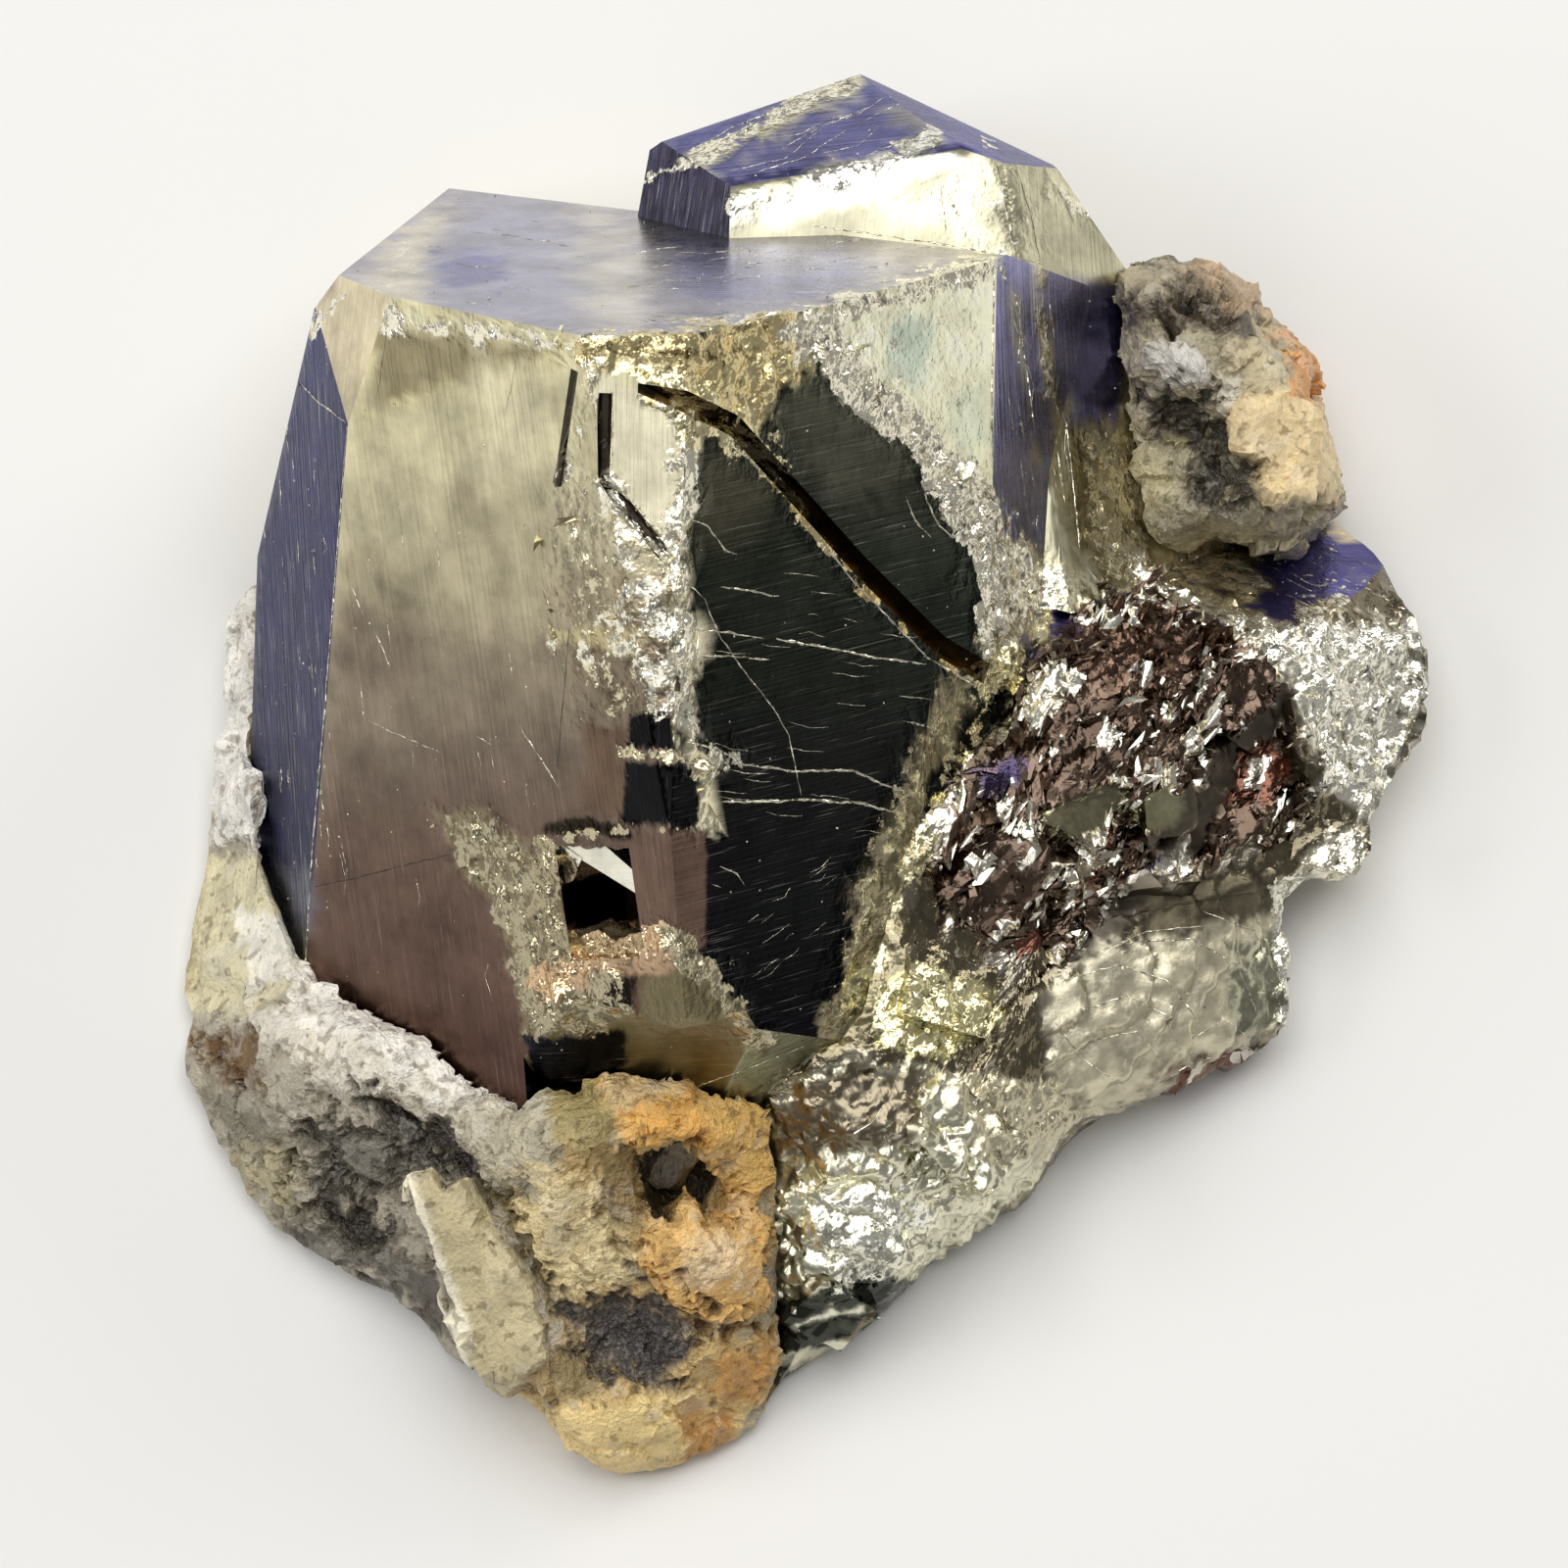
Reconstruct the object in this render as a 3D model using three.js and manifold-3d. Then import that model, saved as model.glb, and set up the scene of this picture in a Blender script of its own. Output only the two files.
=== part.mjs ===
import * as THREE from "three";
import { ConvexGeometry } from "three/addons/geometries/ConvexGeometry.js";
import { mergeVertices } from "three/addons/utils/BufferGeometryUtils.js";
import Module from "manifold-3d";

const wasm = await Module();
wasm.setup();

// Millimetres and degrees. The pieces are shaped upright, as the specimen is looked at:
// X to the right, Y up, Z towards the viewer. The specimen then leans back to lie on its broken back.
const leanBack = 20;
const backDepth = 18; // from the middle of the specimen down to the surface it lies on
const seamGap = 0.3; // between pyrite and rock
const blockSize = 140; // a block large enough to cut any crystal from

// Main crystal. A face looks `turn` degrees to the right of the viewer and `rise` degrees up.
const crown = [-5.8, 16.8, 8.5]; // where the two large faces would meet the top
const leftFace = { turn: -45.5, rise: -11, at: crown };
const rightFace = { turn: 45.5, rise: -5, at: crown };
const frontBevel = { turn: 2, rise: -5, at: [-5.1, 7.6, 5.6] }; // worn edge between them
const mainFaces = [
  leftFace,
  rightFace,
  frontBevel,
  { turn: 0, rise: 75.5, at: crown }, // top
  { turn: -67, rise: -3.4, at: [-18.3, 4.3, -7.8] }, // narrow left side
  { turn: 65, rise: 1.3, at: [8.4, 16.4, -7.2] }, // striated right side
  { turn: -61, rise: 0.3, at: [-16.5, 16.4, -2.5] }, // bevel at the upper left corner
  { turn: 51, rise: 2.6, at: [4.2, 14.6, -1.9] }, // pale bevel at the upper right corner
  { turn: 38, rise: -50, at: [0.2, -9.8, -0.9] }, // strip under the right face
  { turn: 102, rise: 80, at: [-12.8, 24.5, -21.2] }, // behind the top
  { turn: -90, rise: 40.5, at: [-15.2, 23.1, -16] }, // behind the upper left bevel
  { turn: -95, rise: 19, at: [-21.4, 9.3, -14.3] }, // behind the narrow left side
  { turn: -95, rise: 4, at: [-21.8, 0.9, -16.6] },
  { turn: 92, rise: 0, at: [13.7, 12, -18] }, // behind the striated right side
  { turn: 0, rise: -88, at: [0, -14.5, 0] }, // buried foot
];

// What is missing from the main crystal's lower edge, where the two large faces meet.
const slotCentre = [-7, -4.6, 0.9];
const slotSize = [4.2, 4.4, 9]; // across the left face, along the edge, and deep
const brokenCorner = [
  { turn: 225.5, rise: 5, at: [-10.3, -10.9, -3.8] }, // wall that it leaves in the left face
  { turn: 162, rise: 42, at: [-3, -6.6, 2.6] }, // slanting floor
  { turn: 0, rise: 72, at: [-7.4, -8.6, 0] },
];
const furrows = [
  {
    face: rightFace,
    width: 0.9,
    depth: 1.3,
    path: [[-5.2, 15.4], [-1.9, 13.9], [3, 8.6], [6.2, 5.5], [8.1, 4.4]],
  },
  { face: leftFace, width: 0.45, depth: 0.5, path: [[-8.1, 16], [-8.8, 11.6]] },
  { face: frontBevel, width: 0.6, depth: 0.6, path: [[-6.9, 15.1], [-7, 11.8], [-4.4, 8.6]] },
];

// Crystal behind the main one, at the top.
const rearFaces = [
  { turn: -6, rise: 58, at: [1.7, 25.3, -13.6] }, // blue upper face
  { turn: 8, rise: 10, at: [4, 23.8, -13] }, // bright front
  { turn: 48, rise: 12, at: [9.2, 25, -14.2] }, // bright right side
  { turn: -48, rise: 8, at: [-4.6, 24.6, -15] }, // dark left side
  { turn: 50, rise: 64, at: [5.2, 27.4, -16.5] }, // strip on the upper right edge
  { turn: -110, rise: 64, at: [-2, 27.2, -18] }, // behind the upper left edge
  { turn: 104, rise: 60, at: [6, 27.8, -19] },
  { turn: 100, rise: 38, at: [12.6, 23, -18] },
  { turn: -100, rise: 10, at: [-5.8, 24.4, -16] },
  { turn: 0, rise: -85, at: [0, 8, 0] },
];

// Flat top that is left of the broken crystal at the right.
const brokenTop = { turn: 16, rise: 62, at: [19, 6, -12] };

// Rough masses. The front of each follows the lowest of its faces, with swellings and hollows on it,
// and rolls over to the rim of its outline. Blocks with flat sides stand out of the front.
// A rim point is [x, y, z], in clockwise order, and a swelling is [x, y, height, reach].
const shattered = {
  middle: [10.2, -6],
  spokes: 96,
  rings: 14,
  roughness: 0.5,
  front: [
    { turn: 28, rise: -2, at: [5.5, -0.2, -4.4] },
    { turn: 6, rise: -24, at: [4, -14.5, -4.6] },
  ],
  rim: [
    [14.9, 9.2, -16], [17.3, 10, -17.5], [20.1, 9.4, -19], [22.9, 11.4, -21], [24.4, 9.6, -20],
    [25.5, 7, -18], [26.2, 6.3, -17.5], [26.4, 3.8, -16.5], [25.7, 1.3, -16], [23.7, -1.4, -15],
    [24, -2.2, -15], [23.8, -3.2, -14.5], [21, -3.9, -14], [20.1, -5.1, -13.5], [20.5, -9.2, -13],
    [19.9, -10.4, -13], [16.4, -12.2, -12.5], [12.2, -13.7, -12], [9.6, -16.8, -11.5],
    [5.4, -19.9, -11], [3.3, -21.8, -10.5], [-0.2, -24, -10], [-0.9, -25.2, -9.8],
    [-2, -22, -9.6], [-1.8, -16.6, -7.6], [-1.9, -12.6, -5], [0.6, -10, -5.5], [1.9, -7.6, -6],
    [2.6, -4, -6.5], [4, -0.8, -7.5], [6.9, 2.1, -9.5], [8.8, 3.9, -11], [9.4, 5.6, -12],
    [11, 8, -14],
  ],
  swellings: [
    [14.5, 1, 1.2, 3.4], [4.8, -14.5, 1.2, 4.2], [14.8, -8.2, 0.8, 3], [18.2, 0.6, -1.3, 1.5],
    [12, -3.4, -1.2, 1.5], [16.4, -2.8, -1, 1.6], [9.4, -6.8, -0.9, 1.8], [22.4, 4, 1.2, 2.2],
  ],
  blocks: [
    { at: [11.5, -1.2], turn: 20, rise: 10, roll: -20, size: [3, 2.4, 3], proud: 0.4 },
    { at: [14.6, -0.8], turn: 36, rise: -12, roll: 15, size: [2.4, 2, 3], proud: 0.3 },
    { at: [17, 4], turn: 36, rise: -16, roll: -24, size: [5.6, 3, 4], proud: 0.4 },
    { at: [21.7, -2.6], turn: 12, rise: 6, roll: -12, size: [2.8, 2, 3], proud: 0.3 },
    { at: [14.6, -3.8], turn: 14, rise: 24, roll: 8, size: [3.4, 2, 3], proud: 0.3 },
    { at: [12.2, -4.6], turn: 46, rise: -15, roll: 20, size: [2.6, 3.4, 3], proud: 0.2 },
    { at: [20.8, 1.6], turn: 44, rise: 8, roll: 10, size: [2.8, 3.6, 3], proud: 0.4 },
    { at: [7.8, -3.6], turn: 24, rise: -18, roll: -28, size: [3.2, 3.6, 3], proud: 0.3 },
    { at: [5.8, -8.6], turn: 32, rise: 14, roll: -16, size: [4, 3, 3], proud: 0.4 },
    { at: [2.6, -17], turn: -4, rise: -16, roll: 12, size: [4, 3.4, 3], proud: 0.3 },
    { at: [6.6, -14], turn: 30, rise: 4, roll: -38, size: [4.6, 3, 3], proud: 0.3 },
    { at: [1.6, -20.4], turn: 14, rise: -36, roll: -32, size: [3, 2.4, 3], proud: 0 },
  ],
};
const lowerMatrix = {
  middle: [-12, -17],
  spokes: 96,
  rings: 12,
  roughness: 0.75,
  front: [
    { turn: -32, rise: -5, at: [-14.8, -10.4, -6.6] },
    { turn: 5, rise: -14, at: [-5, -15, -3.2] },
  ],
  rim: [
    [-19.6, -7.4, -14.5], [-17.4, -8.4, -12.5], [-14.8, -9.5, -10], [-13.3, -10.6, -9], [-10.5, -11.7, -6.5],
    [-8.4, -11.9, -5], [-4.8, -11.4, -3.4], [-0.6, -12.4, -4], [0.4, -16.6, -7], [0.2, -22.7, -9],
    [-1.2, -25.7, -9.2], [-3.3, -26.8, -8.6], [-6.3, -27.8, -8.4], [-7.9, -27.1, -8.6], [-9.2, -25.3, -9],
    [-11.5, -23.6, -9.4], [-13.7, -22.7, -9.8], [-15.4, -21, -10.2], [-18.2, -19.4, -11],
    [-20.7, -17.8, -11.8], [-22.8, -14.4, -12.8], [-24, -12.4, -13.6], [-24.5, -10, -14.5], [-23, -7.8, -15],
  ],
  swellings: [
    [-4.6, -13.6, 2.4, 2.2], [-4.4, -18.6, 1.6, 2], [-4.2, -15.6, -3, 1.2], [-14.8, -12, 0.8, 3],
    [-20.4, -12, 1.8, 3], [-16.4, -16.6, -0.9, 1.6], [-9.4, -14.6, 1.2, 2], [-6.4, -21.8, -0.6, 1.4],
    [-5.6, -25.4, 0.8, 1.6],
  ],
  blocks: [{ at: [-12, -19.3], turn: -14, rise: -10, roll: 29, size: [2.2, 7.6, 3.2], proud: 0.5 }],
};
const leftQuartz = {
  middle: [-21.5, -5],
  spokes: 48,
  rings: 7,
  roughness: 0.5,
  front: [{ turn: -50, rise: 12, at: [-21.5, -5, -13.8] }],
  rim: [
    [-21.2, 8.2, -18.5], [-21.6, 3, -18.5], [-21.8, -1.5, -18.5], [-21, -3.4, -17], [-20.2, -5.2, -15.6],
    [-19.2, -7.6, -14.5], [-19, -9.6, -13], [-21.5, -11, -13], [-24.4, -9, -15], [-24.3, -7, -15.5],
    [-23.8, -4, -16.5], [-23.3, -1.8, -17], [-23, 1.4, -17.5], [-22.5, 2.4, -17.5], [-22.5, 4, -18],
    [-22.7, 5.8, -18.5], [-22.5, 7, -18.5], [-21.7, 8, -18.5],
  ],
  swellings: [[-22.6, -7, 0.8, 1.4]],
  blocks: [],
};
const cap = {
  middle: [17.3, 15.1],
  spokes: 60,
  rings: 8,
  roughness: 0.6,
  front: [
    { turn: -22, rise: 5, at: [14, 15, -15.4] },
    { turn: 25, rise: 8, at: [18.5, 14, -13.6] },
  ],
  rim: [
    [13.3, 20.6, -18], [14.1, 21.3, -18.5], [16.1, 21.5, -19], [17.5, 21.2, -19.5], [19.2, 20.2, -20],
    [19.9, 19.1, -20], [21.6, 17.7, -20], [21.9, 16.7, -20], [21.8, 15.1, -20], [22.2, 13.5, -20],
    [22.9, 11.6, -20.5], [21.9, 10.2, -19.5], [21, 9.2, -19], [19.1, 9.5, -18], [17.3, 10, -17.5],
    [15, 9, -17], [13.2, 8.8, -18], [12.8, 12.2, -18.5], [13, 16, -18.5],
  ],
  swellings: [[15.4, 17.4, 0.8, 1.5], [17, 12.2, -0.9, 1.3], [17.2, 19, -0.6, 1.2]],
  blocks: [{ at: [19.2, 13.2], turn: 24, rise: 6, roll: -8, size: [3, 3.8, 3.4], proud: 0.4 }],
};

const look = ({ turn, rise }) =>
  new THREE.Vector3().setFromSphericalCoords(
    1,
    THREE.MathUtils.degToRad(90 - rise),
    THREE.MathUtils.degToRad(turn),
  );

// A three.js geometry as a solid that can be cut and joined, and back.
function solidOf(geometry) {
  const bare = geometry.clone();
  bare.deleteAttribute("normal");
  bare.deleteAttribute("uv");
  const merged = mergeVertices(bare, 1e-4);
  const vertProperties = new Float32Array(merged.attributes.position.array);
  const triVerts = new Uint32Array(merged.index.array);
  return new wasm.Manifold(new wasm.Mesh({ numProp: 3, vertProperties, triVerts }));
}

function geometryOf(solid) {
  const { vertProperties, triVerts } = solid.getMesh();
  const geometry = new THREE.BufferGeometry();
  geometry.setAttribute("position", new THREE.BufferAttribute(vertProperties, 3));
  geometry.setIndex(new THREE.BufferAttribute(triVerts, 1));
  geometry.computeVertexNormals();
  return geometry;
}

const joined = (solids) => solids.reduce((whole, solid) => whole.add(solid));

// Keeps what is behind the face, which is moved out by `grow`.
function cutAt(solid, face, grow = 0) {
  const normal = look(face);
  const reach = normal.dot(new THREE.Vector3(...face.at)) + grow;
  return solid.trimByPlane(normal.negate().toArray(), -reach);
}

function crystal(faces, grow = 0) {
  const block = solidOf(new THREE.BoxGeometry(blockSize, blockSize, blockSize));
  return faces.reduce((solid, face) => cutAt(solid, face, grow), block);
}

// Smooth noise between -1 and 1 whose lumps are about one unit wide.
function lattice(i, j, k) {
  const wave = Math.sin(i * 127.1 + j * 311.7 + k * 74.7) * 43758.5453;
  return 2 * (wave - Math.floor(wave)) - 1;
}

function lumps(x, y, z) {
  const cell = [x, y, z].map(Math.floor);
  const [a, b, c] = [x, y, z].map((value, n) => THREE.MathUtils.smoothstep(value - cell[n], 0, 1));
  const along = (j, k) => {
    const near = lattice(cell[0], cell[1] + j, cell[2] + k);
    const far = lattice(cell[0] + 1, cell[1] + j, cell[2] + k);
    return THREE.MathUtils.lerp(near, far, a);
  };
  const across = (k) => THREE.MathUtils.lerp(along(0, k), along(1, k), b);
  return THREE.MathUtils.lerp(across(0), across(1), c);
}

const roughAt = (x, y) => lumps(x / 2.8, y / 2.8, 3.3) + 0.6 * lumps(x / 1.5, y / 1.5, 7.7);

// The rim, walked round in equal steps.
function stepsAlong(rim, count) {
  const path = new THREE.CurvePath();
  const corners = rim.map((point) => new THREE.Vector3(...point));
  corners.forEach((from, n) => path.add(new THREE.LineCurve3(from, corners[(n + 1) % corners.length])));
  return Array.from({ length: count }, (_, n) => path.getPointAt(n / count));
}

// The Z of a face where it passes X and Y.
function heightOn(face, x, y) {
  const normal = look(face);
  const [cx, cy, cz] = face.at;
  return cz - (normal.x * (x - cx) + normal.y * (y - cy)) / normal.z;
}

function frontHeight({ front, swellings }, x, y) {
  const lowest = Math.min(...front.map((face) => heightOn(face, x, y)));
  const swell = ([sx, sy, height, reach]) => height / Math.exp((Math.hypot(x - sx, y - sy) / reach) ** 2);
  return swellings.reduce((sum, swelling) => sum + swell(swelling), lowest);
}

// A box whose width lies across a face and its depth along the face's look, turned by `roll` about it.
function boxOnFace(face, roll, centre, size) {
  const geometry = new THREE.BoxGeometry(...size);
  geometry.rotateZ(THREE.MathUtils.degToRad(roll));
  geometry.lookAt(look(face));
  geometry.translate(...centre);
  return solidOf(geometry);
}

function blocksOn(shape, grow) {
  return shape.blocks.map(({ at: [x, y], turn, rise, roll, size, proud }) => {
    const z = frontHeight(shape, x, y) + proud - size[2] / 2;
    return boxOnFace({ turn, rise }, roll, [x, y, z], size.map((side) => side + 2 * grow));
  });
}

// Rings from the middle of the front to the rim, then in under it and down to a flat root.
function rough(shape, grow = 0) {
  const { middle, spokes, rings, roughness, rim } = shape;
  const [cx, cy] = middle;
  const rootDepth = -blockSize / 2;
  const edges = stepsAlong(rim, spokes).map((edge) => {
    const out = new THREE.Vector3(edge.x - cx, edge.y - cy, 0).normalize();
    return edge.addScaledVector(out, grow + 0.35 * roughness * lumps(edge.x, edge.y, 1.5));
  });
  const frontPoint = (edge, t) => {
    const x = THREE.MathUtils.lerp(cx, edge.x, t);
    const y = THREE.MathUtils.lerp(cy, edge.y, t);
    const front = frontHeight(shape, x, y) + roughness * roughAt(x, y) + grow;
    return [x, y, THREE.MathUtils.lerp(front, edge.z, t ** 7)];
  };
  const under = (share, drop) =>
    edges.map((edge) => [
      THREE.MathUtils.lerp(cx, edge.x, share),
      THREE.MathUtils.lerp(cy, edge.y, share),
      Math.max(edge.z - drop, rootDepth),
    ]);
  const loops = [];
  for (let ring = 1; ring <= rings; ring += 1) {
    loops.push(edges.map((edge) => frontPoint(edge, (ring / rings) ** 0.8)));
  }
  loops.push(under(0.985, 1.6), under(0.93, 4), under(0.8, blockSize));
  const points = [frontPoint(edges[0], 0), ...loops.flat(), [cx, cy, rootDepth]];
  const index = [];
  const at = (ring, spoke) => 1 + ring * spokes + (spoke % spokes);
  for (let spoke = 0; spoke < spokes; spoke += 1) {
    index.push(0, at(0, spoke + 1), at(0, spoke));
    for (let ring = 0; ring + 1 < loops.length; ring += 1) {
      index.push(at(ring, spoke), at(ring, spoke + 1), at(ring + 1, spoke + 1));
      index.push(at(ring, spoke), at(ring + 1, spoke + 1), at(ring + 1, spoke));
    }
    index.push(points.length - 1, at(loops.length - 1, spoke), at(loops.length - 1, spoke + 1));
  }
  const geometry = new THREE.BufferGeometry();
  geometry.setAttribute("position", new THREE.Float32BufferAttribute(points.flat(), 3));
  geometry.setIndex(index);
  return joined([solidOf(geometry), ...blocksOn(shape, grow)]);
}

// A furrow with sloping walls, cut into a face along a path given by its X and Y.
function furrowCuts({ face, width, depth, path }) {
  const normal = look(face);
  const points = path.map(([x, y]) => new THREE.Vector3(x, y, heightOn(face, x, y)));
  return points.slice(1).map((end, n) => {
    const side = end.clone().sub(points[n]).cross(normal).setLength(width / 2);
    const section = (point) => [
      point.clone().add(side).addScaledVector(normal, 0.1),
      point.clone().sub(side).addScaledVector(normal, 0.1),
      point.clone().addScaledVector(side, 0.4).addScaledVector(normal, -depth),
      point.clone().addScaledVector(side, -0.4).addScaledVector(normal, -depth),
    ];
    return solidOf(new ConvexGeometry([...section(points[n]), ...section(end)]));
  });
}

function mainCrystal(grow) {
  const whole = crystal(mainFaces, grow).subtract(crystal(brokenCorner, -grow));
  const slot = boxOnFace(leftFace, 0, slotCentre, slotSize);
  return whole.subtract(joined([slot, ...furrows.flatMap(furrowCuts)]));
}

const shatteredMass = (grow) => cutAt(rough(shattered, grow), brokenTop, grow);

const pyriteWith = (grow) => joined([mainCrystal(grow), crystal(rearFaces, grow), shatteredMass(grow)]);

// The surface that the specimen lies on cuts every piece off flat.
const restingFace = { turn: 180, rise: -leanBack, at: [0, 0, 0] };
const onSurface = (solid) => cutAt(solid, restingFace, backDepth);

// The largest body, without the crumbs that a cut leaves.
const wholeBody = (solid) =>
  solid.decompose().reduce((best, body) => (body.volume() > best.volume() ? body : best));

const pyriteLook = { color: 0xcbbf93, roughness: 0.24, metalness: 1 };
const quartzLook = { color: 0xbcb2a2, roughness: 0.5, metalness: 0 };
const feldsparLook = { color: 0xa89c86, roughness: 0.7, metalness: 0 };

function piece(name, solid, finish) {
  const geometry = geometryOf(wholeBody(onSurface(solid)));
  const mesh = new THREE.Mesh(geometry, new THREE.MeshStandardMaterial(finish));
  mesh.name = name;
  return mesh;
}

const hollowForPyrite = pyriteWith(seamGap);
const specimen = new THREE.Group();
specimen.add(
  piece("pyrite", pyriteWith(0), pyriteLook),
  piece("quartz_matrix", rough(lowerMatrix).add(rough(leftQuartz)).subtract(hollowForPyrite), quartzLook),
  piece("feldspar_cap", rough(cap).subtract(hollowForPyrite), feldsparLook),
);
specimen.rotation.x = THREE.MathUtils.degToRad(leanBack);

// The origin is on the surface, under the middle of the specimen's box.
const part = new THREE.Group();
part.add(specimen);
const box = new THREE.Box3().setFromObject(part, true);
const middle = box.getCenter(new THREE.Vector3());
specimen.position.set(-middle.x, -middle.y, -box.min.z);

export default part;
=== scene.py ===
import math

import bmesh
import bpy
import numpy as np
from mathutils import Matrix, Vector
from mathutils.bvhtree import BVHTree
from mathutils.geometry import tessellate_polygon


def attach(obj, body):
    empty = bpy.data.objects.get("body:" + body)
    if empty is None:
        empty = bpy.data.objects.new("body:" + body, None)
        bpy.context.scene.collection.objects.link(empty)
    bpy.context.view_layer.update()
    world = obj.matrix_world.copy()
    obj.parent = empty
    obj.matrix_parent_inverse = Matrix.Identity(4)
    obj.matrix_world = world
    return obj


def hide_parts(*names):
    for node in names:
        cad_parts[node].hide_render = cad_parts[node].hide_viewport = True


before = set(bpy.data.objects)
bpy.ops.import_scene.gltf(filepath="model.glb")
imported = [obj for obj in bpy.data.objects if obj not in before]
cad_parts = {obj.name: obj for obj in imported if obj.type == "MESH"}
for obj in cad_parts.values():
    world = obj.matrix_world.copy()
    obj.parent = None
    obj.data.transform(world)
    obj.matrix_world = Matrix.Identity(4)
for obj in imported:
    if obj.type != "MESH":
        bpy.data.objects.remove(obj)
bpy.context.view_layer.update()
print("frame loaded")

# The specimen is drawn upright, in millimetres: X right, Y up, Z to the viewer. It lies back by "lean" degrees.
# Outlines are drawn on the front view: "half" units from its middle to its sides, "scale" units to a millimetre, Y down.
pose = {"lean": 20.0, "middle": (-0.9877, -6.516, 18.0), "viewer": 400.0, "half": 800, "scale": 26}
tilt = math.radians(pose["lean"])
toFrame = np.array([[1, 0, 0], [0, math.cos(tilt), -math.sin(tilt)], [0, math.sin(tilt), math.cos(tilt)]])
middle = np.array(pose["middle"])


def upright(metres):
    return (np.asarray(metres, float) * 1000 - middle) @ toFrame


def laidDown(points):
    return (np.asarray(points, float) @ toFrame.T + middle) / 1000


def seen(points):
    half, scale = pose["half"], pose["scale"]
    near = pose["viewer"] / (pose["viewer"] - points[:, 2])
    return np.stack([half + scale * points[:, 0] * near, half - scale * points[:, 1] * near], 1)


# Millimetres, on the plane through the middle, of a point drawn on the front view
def drawnAt(px, py):
    return (px - pose["half"]) / pose["scale"], (pose["half"] - py) / pose["scale"]


def facing(turn, rise):
    t, r = math.radians(turn), math.radians(rise)
    return np.array([math.cos(r) * math.sin(t), math.sin(r), math.cos(r) * math.cos(t)])


def onFace(name, outline):
    normal, at = facing(*crystalFaces[name][:2]), np.array(crystalFaces[name][2])
    spots = []
    for px, py in outline:
        x, y = drawnAt(px, py)
        across = normal[0] * x + normal[1] * y
        z = (normal @ at - across) / (normal[2] - across / pose["viewer"])
        spots.append((x * (1 - z / pose["viewer"]), y * (1 - z / pose["viewer"]), z))
    return np.array(spots)


# Linear colour from 0 to 255 values
def colour(*rgb):
    part = np.array(rgb) / 255
    return np.where(part <= 0.04045, part / 12.92, ((part + 0.055) / 1.055) ** 2.4)


# Noise on points in millimetres

askew = np.array([[0.8, -0.36, 0.48], [0.6, 0.48, -0.64], [0, 0.8, 0.6]])


def chance(cells, seed):
    cells = cells.astype(np.int64)
    mixed = (cells[..., 0] * 73856093) ^ (cells[..., 1] * 19349663) ^ (cells[..., 2] * 83492791) ^ (seed * 2654435761)
    mixed = ((mixed ^ (mixed >> 13)) * 1274126177) & 0x7FFFFFFF
    mixed = ((mixed ^ (mixed >> 15)) * 668265263) & 0x7FFFFFFF
    return ((mixed ^ (mixed >> 14)) & 0xFFFFF) / 0x100000


def waves(points, size, seed):
    scaled = points @ askew / size
    cell = np.floor(scaled)
    part = scaled - cell
    fade = part ** 3 * (part * (part * 6 - 15) + 10)
    total = np.zeros(len(points))
    for corner in np.ndindex(2, 2, 2):
        weight = np.prod(np.where(corner, fade, 1 - fade), 1)
        slope = np.stack([chance(cell + corner, seed + 1000 * n) for n in (1, 2, 3)], 1) * 2 - 1
        total += weight * ((part - corner) * slope).sum(1)
    return 1.6 * total


# Crumpled surface: soft swellings that meet in sharp creases
def crumple(points, size, seed):
    bent = points + 0.4 * size * np.stack([waves(points, 1.4 * size, seed + n) for n in range(3)], 1)
    return size * (np.abs(waves(bent, size, seed + 5)) + 0.5 * np.abs(waves(bent, size / 2, seed + 6)) - 0.4)


# Broken facets: every cell is a small plane with its own tilt and height
def facets(points, size, seed, slope=0.8):
    scaled = points / size
    cell = np.floor(scaled)
    best = np.full(len(points), 9.0)
    height, pick = np.zeros(len(points)), np.zeros(len(points))
    for offset in np.ndindex(3, 3, 3):
        spot = cell + np.array(offset) - 1
        away = scaled - spot - np.stack([chance(spot, seed + n) for n in range(3)], 1)
        reach = (away ** 2).sum(1)
        lean = np.stack([chance(spot, seed + 3 + n) for n in range(3)], 1) - 0.5
        near = reach < best
        height = np.where(near, 0.5 * (chance(spot, seed + 7) - 0.5) + slope * (away * lean).sum(1), height)
        pick = np.where(near, chance(spot, seed + 8), pick)
        best = np.minimum(best, reach)
    return height * size, pick


def toSegment(spots, a, b):
    along = np.clip(((spots - a) @ (b - a)) / max((b - a) @ (b - a), 1e-9), 0, 1)
    return np.hypot(*(spots - a - along[:, None] * (b - a)).T)


# How far inside an outline of the front view each point is, negative outside; only looked at near the outline
def inside(allSpots, outline, margin=130):
    outline = np.array(outline, float)
    near = np.all((allSpots > outline.min(0) - margin) & (allSpots < outline.max(0) + margin), 1)
    spots = allSpots[near]
    best, odd = np.full(len(spots), 1e9), np.zeros(len(spots), bool)
    for a, b in zip(outline, np.roll(outline, -1, 0)):
        best = np.minimum(best, toSegment(spots, a, b))
        if a[1] != b[1]:
            crosses = (a[1] > spots[:, 1]) != (b[1] > spots[:, 1])
            odd ^= crosses & (spots[:, 0] < (b[0] - a[0]) * (spots[:, 1] - a[1]) / (b[1] - a[1]) + a[0])
    reach = np.full(len(allSpots), -1e3)
    reach[near] = np.where(odd, best, -best)
    return reach


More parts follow.
